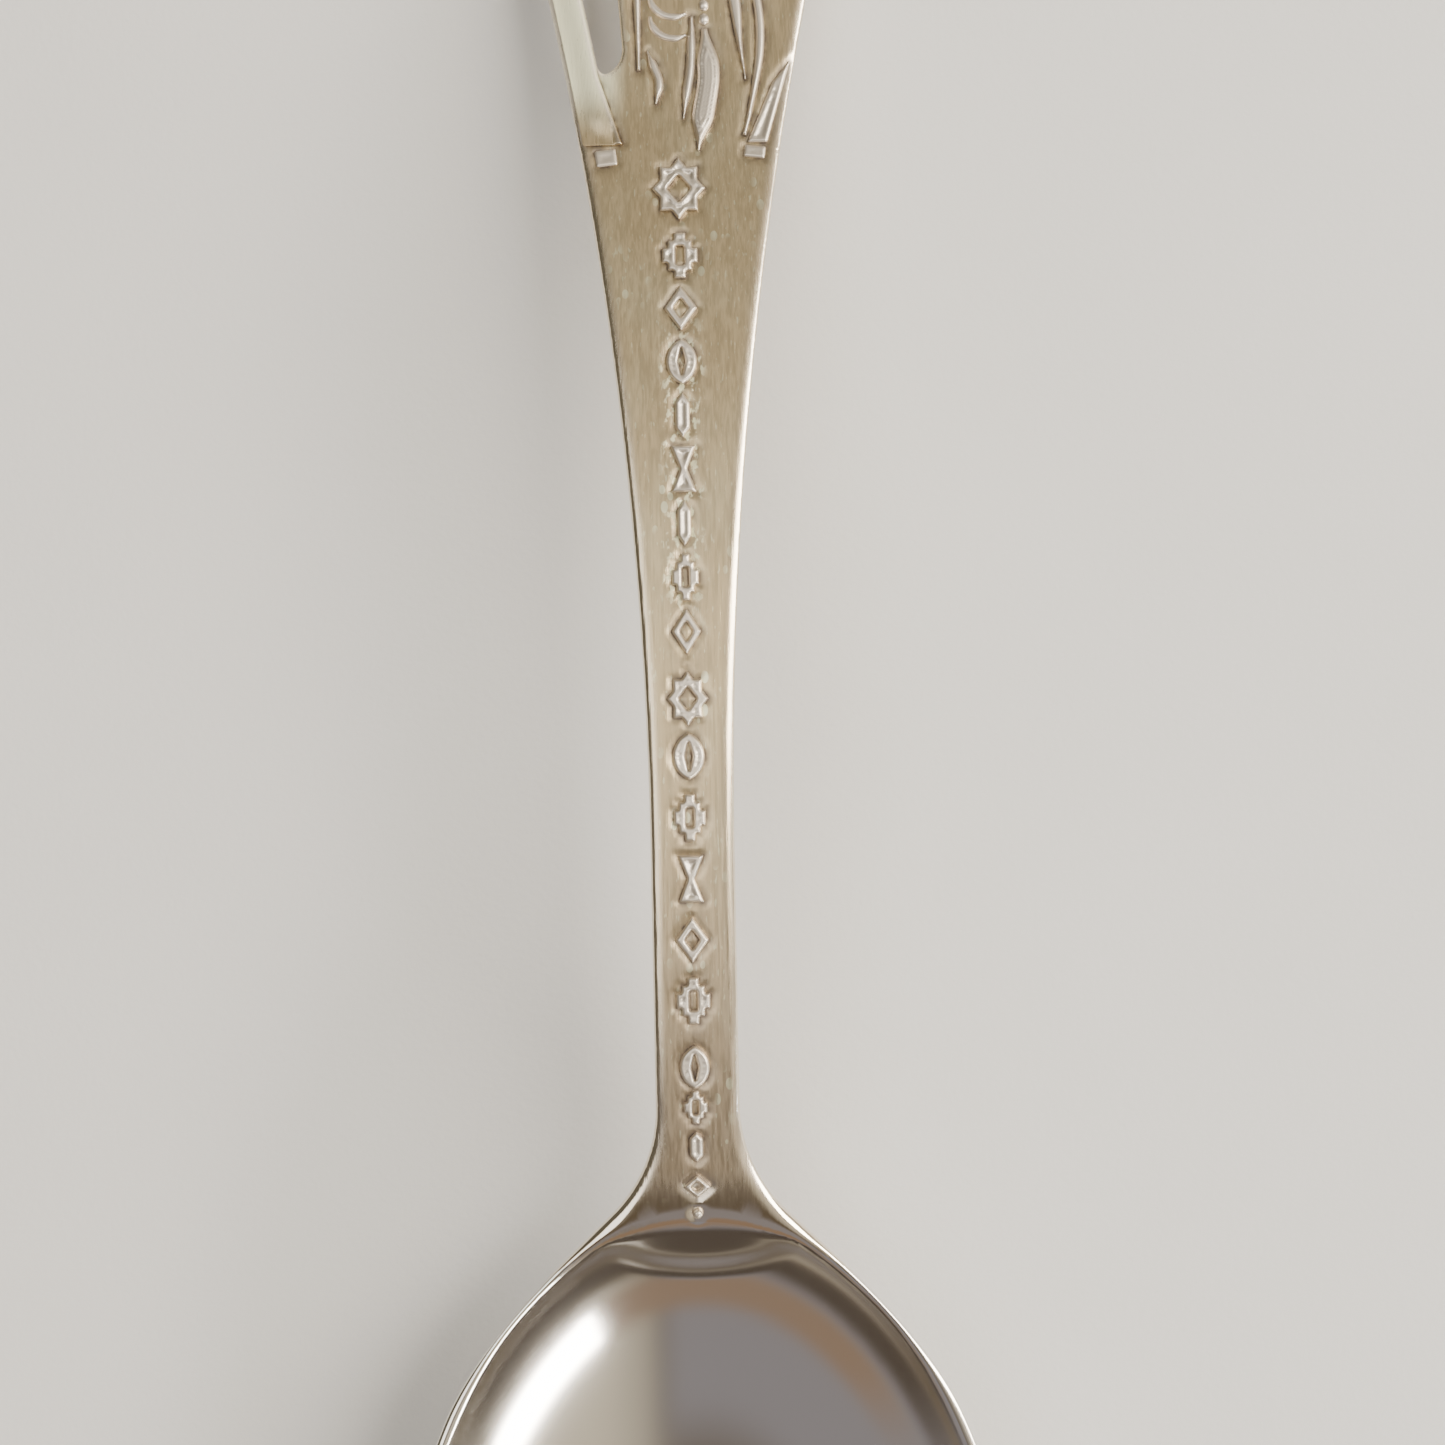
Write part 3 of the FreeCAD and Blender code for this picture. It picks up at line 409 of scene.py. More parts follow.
class Outline:
    """Closed lines round an area and its holes, with the distance from any point to the nearest of them."""

    def __init__(self, loops, holes=()):
        self.loops = [wound(np.asarray(loop), True) for loop in loops]
        self.loops += [wound(np.asarray(loop), False) for loop in holes]
        self.points = np.vstack(self.loops)
        self.after = np.vstack([np.roll(loop, -1, 0) for loop in self.loops])
        sizes = [len(loop) for loop in self.loops]
        self.owner = np.repeat(np.arange(len(sizes)), sizes)
        starts = np.concatenate([[0], np.cumsum(sizes)[:-1]])
        steps_back = [start + (np.arange(size) - 1) % size for start, size in zip(starts, sizes)]
        self.before = np.concatenate(steps_back)
        forward = self.after - self.points
        forward /= np.linalg.norm(forward, axis=1)[:, None]
        tangent = forward + forward[self.before]
        tangent /= np.linalg.norm(tangent, axis=1)[:, None] + 1e-12
        self.inward = np.stack([-tangent[:, 1], tangent[:, 0]], 1)
        self.tree = kdtree.KDTree(len(self.points))
        for index, (x, y) in enumerate(self.points):
            self.tree.insert((x, y, 0), index)
        self.tree.balance()

    def distance(self, places):
        """Signed distance, positive inside, and the number of the nearest loop."""
        nearest = np.array([self.tree.find((x, y, 0))[1] for x, y in places])
        best, sign = np.full(len(places), 1e9), np.ones(len(places))
        for start in (nearest, self.before[nearest]):
            run = self.after[start] - self.points[start]
            share = np.sum((places - self.points[start]) * run, 1) / (np.sum(run * run, 1) + 1e-18)
            foot = self.points[start] + np.clip(share, 0, 1)[:, None] * run
            gap = np.linalg.norm(places - foot, axis=1)
            side = np.sum((places - foot) * self.inward[nearest], 1)
            sign = np.where(gap < best, np.where(side >= 0, 1.0, -1.0), sign)
            best = np.minimum(gap, best)
        return best * sign, self.owner[nearest]


def grid(low, high, spacing):
    """Evenly spread points in a rectangle, each row half a step off the last."""
    rows = np.arange(low[1], high[1], spacing * 0.87)
    across = np.arange(low[0], high[0], spacing)
    x, y = np.meshgrid(across, rows)
    x = x + (np.arange(len(rows)) % 2)[:, None] * spacing / 2
    return np.stack([x.ravel(), y.ravel()], 1)


def triangles(outline, widths, rings, fill, chains=()):
    """Corners and triangles of the outlined area, with rings of points along its edge at shares of widths."""
    edges, start = [], 0
    for loop in outline.loops:
        edges += [(start + i, start + (i + 1) % len(loop)) for i in range(len(loop))]
        start += len(loop)
    points = [outline.points]
    depth = np.asarray(widths)[outline.owner]
    for share in rings:
        ring = outline.points + outline.inward * (depth * share)[:, None]
        gap, _ = outline.distance(ring)
        points.append(ring[gap > 0.92 * depth * share])
    gap, owner = outline.distance(fill)
    points.append(fill[gap > np.asarray(widths)[owner] * rings[-1] + 0.07])
    coords = np.vstack(points)
    for chain in chains:
        first = len(coords)
        ends = [outline.tree.find((*chain[at], 0))[1] for at in (0, -1)]
        coords = np.vstack([coords, chain[1:-1]])
        route = [ends[0], *range(first, len(coords)), ends[1]]
        edges += list(zip(route, route[1:]))
    made = geometry.delaunay_2d_cdt([Vector(place) for place in coords], edges, [], 1, 1e-6)
    flat = np.array([tuple(place) for place in made[0]])
    faces = np.array(made[2])
    inside, _ = outline.distance(flat[faces].mean(1))
    return flat, faces[inside > 0]


def boundary(faces):
    """Edges that only one triangle uses, in that triangle's direction."""
    edges = np.vstack([faces[:, [0, 1]], faces[:, [1, 2]], faces[:, [2, 0]]])
    key = np.sort(edges, axis=1)
    _, first, count = np.unique(key, axis=0, return_index=True, return_counts=True)
    return edges[first[count == 1]]


def solid(flat, faces, top, bottom):
    """Vertices and faces of the closed body between two heights over the same triangles."""
    size = len(flat)
    corners = np.vstack([np.column_stack([flat, top]), np.column_stack([flat, bottom])])
    edge = boundary(faces)
    wall = np.column_stack([edge[:, 1], edge[:, 0], edge[:, 0] + size, edge[:, 1] + size])
    polygons = faces.tolist() + (faces[:, ::-1] + size).tolist() + wall.tolist()
    return corners, polygons


def new_piece(name, corners, polygons, material, attributes=()):
    """A smooth shaded mesh object from corners in millimetres, with (name, values) attributes."""
    mesh = bpy.data.meshes.new(name)
    mesh.from_pydata((np.asarray(corners) * MM).tolist(), [], polygons)
    for key, values in attributes:
        layer = mesh.attributes.new(key, "FLOAT", "POINT")
        layer.data.foreach_set("value", np.asarray(values, np.float32))
    mesh.materials.append(material)
    mesh.shade_smooth()
    mesh.update()
    piece = bpy.data.objects.new(name, mesh)
    bpy.context.scene.collection.objects.link(piece)
    return piece


def finish_piece(piece, slot, *nodes):
    """Puts a piece on the spoon's one body in place of its CAD nodes."""
    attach(piece, "root")
    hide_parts(*nodes)
    return piece


# ---------------------------------------------------------------- outlines of the raised ornament


def shape_line(corners, spacing=0.06):
    return evenly(np.asarray(corners, float), spacing)


def scaled(corners, wide, tall):
    return np.asarray(corners, float) * [wide / 2, tall / 2]


def lozenge(wide, tall, share=1.0):
    return scaled([(share, 0), (0, share), (-share, 0), (0, -share)], wide, tall)


def sun(wide, tall):
    """Eight short rays round an open lozenge."""
    angles = np.arange(16) * math.pi / 8
    reach = np.where(np.arange(16) % 2 == 0, 1, 0.74)
    rays = np.stack([reach * np.cos(angles), reach * np.sin(angles)], 1)
    return [scaled(rays, wide, tall)], [lozenge(wide, tall, 0.42)]


def steps(wide, tall):
    """A stepped lozenge with a slot."""
    right = [(0.34, -1), (0.34, -0.66), (0.68, -0.66), (0.68, -0.33), (1, -0.33)]
    right += [(x, -y) for x, y in reversed(right)]
    slot = [(0.22, -0.4), (0.22, 0.4), (-0.22, 0.4), (-0.22, -0.4)]
    return [scaled(right + [(-x, y) for x, y in reversed(right)], wide, tall)], [scaled(slot, wide, tall)]


def hourglass(wide, tall):
    return [scaled([(1, -1), (0.3, 0), (1, 1), (-1, 1), (-0.3, 0), (-1, -1)], wide, tall)], []


def leaf(wide, tall):
    """A leaf of two arcs with a slit along its middle."""
    radius = (wide**2 + tall**2) / (4 * wide)
    half = math.asin(tall / 2 / radius)
    right = arc_points((wide / 2 - radius, 0), radius, -half, half, 0.05)
    slit = scaled([(0.22, 0), (0, 0.62), (-0.22, 0), (0, -0.62)], wide, tall)
    return [np.vstack([right, right[::-1][1:-1] * [-1, 1]])], [slit]


def spindle(wide, tall):
    return [scaled([(1, -0.55), (1, 0.55), (0, 1), (-1, 0.55), (-1, -0.55), (0, -1)], wide, tall)], []


def open_lozenge(wide, tall):
    return [lozenge(wide, tall)], [lozenge(wide, tall, 0.42)]


UPPER_ROW = [(steps, 1.8), (open_lozenge, 1.7), (leaf, 1.55), (spindle, 0.76)]
UPPER_ROW += [(hourglass, 1.3), (spindle, 0.7), (steps, 1.35), (open_lozenge, 1.5)]
MIDDLE_ROW = [(leaf, 1.6), (steps, 1.6), (hourglass, 1.3), (open_lozenge, 1.7), (steps, 1.7)]
LOWER_ROW = [(leaf, 1.5, 2.2), (steps, 1.2, 1.7), (spindle, 0.7, 1.6), (open_lozenge, 1.4, 1.2)]


def motif_places(relief):
    """Node name, shape, width, height and Y of every motif, from the head down to the bowl."""
    tall = relief.motif_height
    rows = [
        (30.3, 0, [(sun, 2.75, 3.3)]),
        (26.85, 2.7, [row + (tall,) for row in UPPER_ROW]),
        (4.62, 0, [(sun, 2.1, 2.8)]),
        (1.75, 3.03, [row + (tall,) for row in MIDDLE_ROW]),
        (-13.7, 2.0, LOWER_ROW),
    ]
    places = []
    for first, pitch, shapes in rows:
        for index, (shape, wide, height) in enumerate(shapes):
            name = f"motif_{len(places) + 1:02d}_{shape.__name__}"
            places.append((name, shape, wide, height, first - index * pitch))
    return places


def ribbon(line, taper_start, taper_end, width, spacing=0.06):
    """Outline of a band along a line, whose width swells from its two ends by the tapers' shares."""
    route = evenly(line, spacing, closed=False)
    share = np.linspace(0, 1, len(route))
    swell = taper_start + (1 - taper_start) * ramp(share, 0, 0.3)
    swell = swell * (taper_end + (1 - taper_end) * ramp(1 - share, 0, 0.3))
    tangent = np.gradient(route, axis=0)
    tangent /= np.linalg.norm(tangent, axis=1)[:, None]
    offset = np.stack([-tangent[:, 1], tangent[:, 0]], 1) * (swell * width / 2)[:, None]
    return evenly(np.vstack([route + offset, (route - offset)[::-1]]), spacing)


def curve_through(points, spacing=0.15):
    """A smooth line through a few points."""
    points = np.asarray(points, float)
    padded = np.vstack([2 * points[0] - points[1], points, 2 * points[-1] - points[-2]])
    line = []
    for a, b, c, d in zip(padded, padded[1:], padded[2:], padded[3:]):
        share = np.linspace(0, 1, 12, endpoint=False)[:, None]
        line.append((2 * b + (c - a) * share + (2 * a - 5 * b + 4 * c - d) * share**2
                     + (3 * b - a - 3 * c + d) * share**3) / 2)
    return evenly(np.vstack(line + [points[-1:]]), spacing, closed=False)


def block(x, y, wide, tall, degrees):
    """A rectangle turned about its middle."""
    turn = math.radians(degrees)
    corners = np.array([(1, -1), (1, 1), (-1, 1), (-1, -1)]) * [wide / 2, tall / 2]
    spin = np.array([[math.cos(turn), math.sin(turn)], [-math.sin(turn), math.cos(turn)]])
    return corners @ spin + [x, y]


def hanging_lines():
    """The ornament hanging below the shield, as {node: (points, taper at start, taper at end, width)}."""
    return {
        "side_column": ([(-2.02, 36.46), (-2.06, 43), (-1.9, 50.4)], 0.5, 1, 0.4),
        "crescent": ([(-1.18, 34.68), (-1.0, 35.8), (-1.28, 36.7), (-1.59, 37.5)], 0.2, 0.2, 0.46),
        "slim_feather": ([(0.2, 33.87), (0.42, 35.4), (0.62, 36.8), (0.7, 39.27)], 0.15, 0.4, 0.5),
        "broad_feather": (
            [(0.93, 32.24), (1.2, 34.1), (1.5, 35.9), (1.45, 37.3), (1.32, 38.6)], 0.12, 0.3, 1.15
        ),
        "inner_strand": (
            [(3.38, 35.9), (3.1, 38), (2.9, 40), (2.45, 43), (2.2, 45), (2.06, 50.4)], 0.15, 1, 0.62
        ),
        "outer_strand": (
            [(3.26, 33), (3.62, 34.5), (4.12, 37.4), (4.04, 40), (3.3, 43), (2.87, 45), (2.75, 50.4)],
            0.5, 0.8, 0.46,
        ),
    }


POLE_FOOT_Y = 32.6
POLE_FOOT_X = 2.86  # inner corner of the left pole's foot
RIGHT_POLE_TOP = 36.9
EDGE_MARGIN = 0.22  # how far poles and rail stay inside the handle's edge
WINDOW_MARGIN = 0.05  # how far they stay outside the windows


def pole_outlines(form):
    """Outlines of the two poles and their feet, and of the right rail."""
    plan = form.plan
    inset = plan.rail_width - WINDOW_MARGIN
    left = np.vstack([
        form.rail_run(POLE_FOOT_Y, EDGE_MARGIN),
        form.rail_run(36.2, inset)[::-1],
        [(POLE_FOOT_X, POLE_FOOT_Y)],
    ]) * [-1, 1]
    tip = float(form.side_x(RIGHT_POLE_TOP, EDGE_MARGIN))
    right = np.array([(3.38, POLE_FOOT_Y), (4.42, POLE_FOOT_Y), (tip, RIGHT_POLE_TOP), (4.72, 35.75)])
    rail_foot = plan.right_foot + 0.3
    rail = np.vstack([form.rail_run(rail_foot, EDGE_MARGIN), form.rail_run(rail_foot, inset)[::-1]])
    return {
        "left_foot": block(-3.74, 31.95, 1.1, 0.88, 7),
        "right_foot": block(3.76, 32.15, 1.1, 0.66, -7),
        "left_pole": left,
        "right_pole": right,
        "right_rail": rail,
    }


END_BEAD_Y = -21.1
END_BEAD_RADIUS = 0.24


def ornament_outlines(form):
    """Every raised ornament's outline as {node: (loops, holes)}, in millimetres."""
    made = {}
    for name, shape, wide, tall, y in motif_places(form.relief):
        place = np.array([form.relief.motif_x, y])
        loops, holes = shape(wide, tall)
        loops = [softened(shape_line(line), 2) + place for line in loops]
        holes = [softened(shape_line(line), 2) + place for line in holes]
        made[name] = (loops, holes)
    for name, line in pole_outlines(form).items():
        made[name] = ([softened(shape_line(line), 3)], [])
    for name, (points, first, last, wide) in hanging_lines().items():
        made[name] = ([ribbon(curve_through(points), first, last, wide)], [])
    bead = arc_points((form.relief.motif_x, END_BEAD_Y), END_BEAD_RADIUS, 0, 1.95 * math.pi, 0.05)
    made["end_bead"] = ([bead], [])
    return made


RIM_WIDTH = 0.7
RING_RADII = (3.1, 2.62)
BOSS_RADIUS = 1.15
RING_STEP = 0.09


def ring_line(form, radius):
    return arc_points((0, form.head_y), radius, 0, 2 * math.pi - RING_STEP / radius, RING_STEP)


def shield_outlines(form):
    """The shield's rim, ring and boss."""
    outer = form.relief.shield_radius
    return {
        "shield_rim": ([ring_line(form, outer)], [ring_line(form, outer - RIM_WIDTH)]),
        "shield_ring": ([ring_line(form, RING_RADII[0])], [ring_line(form, RING_RADII[1])]),
        "shield_boss": ([ring_line(form, BOSS_RADIUS)], []),
    }


def relief_tree(form):
    """All outlines that the face is sunk beside, as one Outline."""
    loops, holes = [], []
    for outer, inner in list(ornament_outlines(form).values()) + list(shield_outlines(form).values()):
        loops += outer
        holes += inner
    return Outline(loops, holes)


# ---------------------------------------------------------------- materials


def socket(tree, name, kind, default=None, direction="INPUT"):
    made = tree.interface.new_socket(name, in_out=direction, socket_type=kind)
    if default is not None:
        made.default_value = default
    return made


def shader_group(name):
    tree = bpy.data.node_groups.new(name, "ShaderNodeTree")
    return tree, tree.nodes.new("NodeGroupInput"), tree.nodes.new("NodeGroupOutput")


def node(tree, kind, **values):
    """A new node. A value sets a property of the node if it has one of that name, or else its input."""
    made = tree.nodes.new(kind)
    for key, value in values.items():
        if hasattr(made, key):
            setattr(made, key, value)
        else:
            made.inputs[key.replace("_", " ")].default_value = value
    return made


def math_node(tree, operation, a, b=None, c=None, clamp=False):
    made = tree.nodes.new("ShaderNodeMath")
    made.operation = operation
    made.use_clamp = clamp
    for index, value in enumerate((a, b, c)):
        if isinstance(value, bpy.types.NodeSocket):
            tree.links.new(value, made.inputs[index])
        elif value is not None:
            made.inputs[index].default_value = value
    return made.outputs[0]


def between(tree, value, low, high):
    """0 to 1 as value goes from low to high."""
    made = node(tree, "ShaderNodeMapRange", interpolation_type="SMOOTHSTEP")
    tree.links.new(value, made.inputs["Value"])
    made.inputs["From Min"].default_value = low
    made.inputs["From Max"].default_value = high
    return made.outputs["Result"]


def blend_colour(tree, share, first, second, mode="MIX"):
    made = node(tree, "ShaderNodeMix", data_type="RGBA", blend_type=mode)
    for target, value in ((made.inputs[0], share), (made.inputs[6], first), (made.inputs[7], second)):
        if isinstance(value, bpy.types.NodeSocket):
            tree.links.new(value, target)
        else:
            target.default_value = value
    return made.outputs[2]


def noise(tree, coordinates, stretch, detail=3.0, roughness=0.55):
    """Noise on coordinates in metres, stretched by a scale for each axis."""
    mapping = node(tree, "ShaderNodeMapping")
    mapping.inputs["Scale"].default_value = stretch
    tree.links.new(coordinates, mapping.inputs["Vector"])
    made = node(tree, "ShaderNodeTexNoise")
    made.inputs["Scale"].default_value = 1.0
    made.inputs["Detail"].default_value = detail
    made.inputs["Roughness"].default_value = roughness
    tree.links.new(mapping.outputs[0], made.inputs["Vector"])
    return made.outputs["Fac"]


def brushing_group():
    """Fine scratches along the spoon, with a few deeper ones: a height and a 0 to 1 streak mask."""
    tree, inputs, outputs = shader_group("lengthwise_brushing")
    socket(tree, "Position", "NodeSocketVector")
    socket(tree, "Strength", "NodeSocketFloat", 0.5)
    socket(tree, "Height", "NodeSocketFloat", direction="OUTPUT")
    socket(tree, "Streaks", "NodeSocketFloat", direction="OUTPUT")
    socket(tree, "Flecks", "NodeSocketFloat", direction="OUTPUT")
    place = inputs.outputs["Position"]
    fine = noise(tree, place, (9500, 260, 6000), 2.0)
    broad = noise(tree, place, (3600, 110, 2400), 2.0)
    deep = between(tree, noise(tree, place, (5200, 330, 4000), 1.0), 0.62, 0.70)
    flecks = between(tree, noise(tree, place, (7600, 1500, 6000), 1.0), 0.66, 0.74)
    streaks = math_node(tree, "MULTIPLY_ADD", fine, 0.6, math_node(tree, "MULTIPLY", broad, 0.4))
    sharp = between(tree, streaks, 0.36, 0.64)
    height = math_node(tree, "SUBTRACT", sharp, math_node(tree, "MULTIPLY", deep, 0.6))
    tree.links.new(math_node(tree, "MULTIPLY", height, inputs.outputs["Strength"]), outputs.inputs["Height"])
    tree.links.new(sharp, outputs.inputs["Streaks"])
    tree.links.new(math_node(tree, "MULTIPLY", flecks, inputs.outputs["Strength"]), outputs.inputs["Flecks"])
    return tree


def mottle_group():
    """Cloudy tone and small pale specks."""
    tree, inputs, outputs = shader_group("mottle_and_specks")
    socket(tree, "Position", "NodeSocketVector")
    socket(tree, "Speck size", "NodeSocketFloat", 0.28)
    socket(tree, "Clouds", "NodeSocketFloat", direction="OUTPUT")
    socket(tree, "Specks", "NodeSocketFloat", direction="OUTPUT")
    place = inputs.outputs["Position"]
    tree.links.new(noise(tree, place, (260, 130, 260), 4.0), outputs.inputs["Clouds"])
    mapping = node(tree, "ShaderNodeMapping")
    mapping.inputs["Scale"].default_value = (1500, 900, 1500)
    tree.links.new(place, mapping.inputs["Vector"])
    cells = node(tree, "ShaderNodeTexVoronoi")
    cells.inputs["Scale"].default_value = 1.0
    tree.links.new(mapping.outputs[0], cells.inputs["Vector"])
    dot = math_node(tree, "LESS_THAN", cells.outputs["Distance"], inputs.outputs["Speck size"])
    patches = between(tree, noise(tree, place, (420, 300, 420), 2.0), 0.52, 0.66)
    tree.links.new(math_node(tree, "MULTIPLY", dot, patches), outputs.inputs["Specks"])
    return tree


def wiping_group():
    """Hair-fine crossing marks left by polishing."""
    tree, inputs, outputs = shader_group("polishing_marks")
    socket(tree, "Position", "NodeSocketVector")
    socket(tree, "Height", "NodeSocketFloat", direction="OUTPUT")
    total = None
    directions = ((0.15, (11000, 300, 11000)), (-0.5, (9000, 260, 9000)), (1.25, (12000, 340, 12000)))
    for turn, stretch in directions:
        spin = node(tree, "ShaderNodeMapping")
        spin.inputs["Rotation"].default_value = (0, 0, turn)
        tree.links.new(inputs.outputs["Position"], spin.inputs["Vector"])
        lines = between(tree, noise(tree, spin.outputs[0], stretch, 1.0), 0.61, 0.69)
        total = lines if total is None else math_node(tree, "MAXIMUM", total, lines)
    tree.links.new(total, outputs.inputs["Height"])
    return tree


def group_node(tree, group, **inputs):
    made = tree.nodes.new("ShaderNodeGroup")
    made.node_tree = group
    for key, value in inputs.items():
        target = made.inputs[key.replace("_", " ")]
        if isinstance(value, bpy.types.NodeSocket):
            tree.links.new(value, target)
        else:
            target.default_value = value
    return made


def attribute(tree, name):
    made = tree.nodes.new("ShaderNodeAttribute")
    made.attribute_name = name
    return made.outputs["Fac"]


def new_metal(name):
    """A metal material with its tree, its Principled shader and Object coordinates."""
    material = bpy.data.materials.new(name)
    material.use_nodes = True
    tree = material.node_tree
    shader = tree.nodes["Principled BSDF"]
    shader.inputs["Metallic"].default_value = 1.0
    coordinates = tree.nodes.new("ShaderNodeTexCoord").outputs["Object"]
    return material, tree, shader, coordinates


def rgba(value):
    return (*value, 1.0)


def along_spoon(tree, coordinates, low, high):
    """0 to 1 as Y goes from low to high, in millimetres."""
    parts = tree.nodes.new("ShaderNodeSeparateXYZ")
    tree.links.new(coordinates, parts.inputs[0])
    return between(tree, parts.outputs["Y"], low * MM, high * MM)


def bump(tree, shader, height, strength, distance):
    made = node(tree, "ShaderNodeBump")
    made.inputs["Strength"].default_value = strength
    made.inputs["Distance"].default_value = distance
    tree.links.new(height, made.inputs["Height"])
    tree.links.new(made.outputs[0], shader.inputs["Normal"])


def film(tree, rubbed):
    """How metallic the surface still is under its pale film."""
    return math_node(tree, "MULTIPLY_ADD", rubbed, -0.86, 1.0)


def satin_silver(finish, groups):
    """The handle's face: brushed and warm, browner by the bowl, tarnish with painted shade beside the relief,
    wear with a painted highlight on edges.
    """
    material, tree, shader, place = new_metal("satin_silver")
    brushing = group_node(tree, groups["brushing"], Position=place, Strength=finish.scratches)
    mottle = group_node(tree, groups["mottle"], Position=place)
    polish = math_node(tree, "SUBTRACT", 1.0, along_spoon(tree, place, -21.5, -18.6))
    warm = blend_colour(tree, along_spoon(tree, place, -24, 6), rgba(finish.satin_low), rgba(finish.satin))
    clouds = between(tree, mottle.outputs["Clouds"], 0.4, 0.7)
    tone = blend_colour(tree, math_node(tree, "MULTIPLY", clouds, 0.12), warm, rgba(finish.pale))
    rubbed = math_node(tree, "MULTIPLY", attribute(tree, "rubbed"), 0.85)
    tone = blend_colour(tree, rubbed, tone, rgba(finish.pale))
    streaks = math_node(tree, "MULTIPLY_ADD", brushing.outputs["Streaks"], 0.11, 0.93)
    streaked = blend_colour(tree, 1.0, tone, streaks, "MULTIPLY")
    flecked = blend_colour(
        tree, math_node(tree, "MULTIPLY", brushing.outputs["Flecks"], 0.75), streaked, rgba(finish.pale)
    )
    smear = between(tree, noise(tree, place, (1700, 1100, 1700), 3.0), 0.33, 0.62)
    # tarnish with painted shade: darker in the sunk line beside the relief, down the column between the
    # motifs and in the pit
    dirt_and_painted_shade = attribute(tree, "tarnish")
    patchy = math_node(tree, "MULTIPLY_ADD", smear, 0.65, 0.25)
    tarnish = math_node(tree, "MULTIPLY", patchy, dirt_and_painted_shade, clamp=True)
    tarnished_and_shaded = blend_colour(tree, tarnish, flecked, rgba(finish.tarnish))
    grains = between(tree, noise(tree, place, (3000, 1700, 3000), 3.0), 0.53, 0.62)
    belt = math_node(tree, "MULTIPLY", along_spoon(tree, place, 7, 11), along_spoon(tree, place, 26, 20))
    crust = math_node(tree, "MULTIPLY", grains, belt)
    crust = math_node(tree, "MULTIPLY", crust, between(tree, dirt_and_painted_shade, 0.02, 0.3))
    crusted = blend_colour(tree, math_node(tree, "MULTIPLY", crust, 0.7), tarnished_and_shaded, rgba(finish.pale))
    specks = math_node(tree, "MULTIPLY", mottle.outputs["Specks"], 0.6)
    specked = blend_colour(tree, specks, crusted, rgba(finish.pale))
    # edges brightened towards polished silver: edge wear with a painted highlight
    edge = attribute(tree, "edge")
    worn_and_highlit = blend_colour(tree, math_node(tree, "MULTIPLY", edge, 0.8), specked, rgba(finish.polished))
    tree.links.new(blend_colour(tree, polish, worn_and_highlit, rgba(finish.polished)), shader.inputs["Base Color"])
    tree.links.new(film(tree, attribute(tree, "rubbed")), shader.inputs["Metallic"])
    rough = math_node(tree, "MULTIPLY_ADD", brushing.outputs["Streaks"], 0.07, 0.30)
    rough = math_node(tree, "ADD", rough, math_node(tree, "MULTIPLY", tarnish, 0.22))
    rough = math_node(tree, "ADD", rough, math_node(tree, "MULTIPLY", crust, 0.25))
    rough = math_node(tree, "SUBTRACT", rough, math_node(tree, "MULTIPLY", edge, 0.16))
    shine = math_node(tree, "SUBTRACT", 1.0, math_node(tree, "MULTIPLY", polish, 0.75))
    tree.links.new(math_node(tree, "MULTIPLY", rough, shine), shader.inputs["Roughness"])
    height = math_node(tree, "ADD", brushing.outputs["Height"], math_node(tree, "MULTIPLY", crust, 0.8))
    bump(tree, shader, math_node(tree, "MULTIPLY", height, shine), 0.3, 0.00002)
    return material


def polished_silver(finish, groups):
    """The bowl: mirror bright, with fine polishing marks and a faint haze."""
    material, tree, shader, place = new_metal("polished_silver")
    marks = group_node(tree, groups["wiping"], Position=place)
    mottle = group_node(tree, groups["mottle"], Position=place, Speck_size=0.16)
    clouds = between(tree, mottle.outputs["Clouds"], 0.4, 0.7)
    share = math_node(tree, "MULTIPLY", clouds, 0.18)
    tone = blend_colour(tree, share, rgba(finish.polished), rgba(finish.satin))
    tree.links.new(tone, shader.inputs["Base Color"])
    haze = math_node(tree, "MULTIPLY_ADD", clouds, 0.05, 0.055)
    lines = math_node(tree, "MULTIPLY", marks.outputs["Height"], 0.06)
    tree.links.new(math_node(tree, "ADD", haze, lines), shader.inputs["Roughness"])
    bump(tree, shader, marks.outputs["Height"], 0.22, 0.00001)
    return material


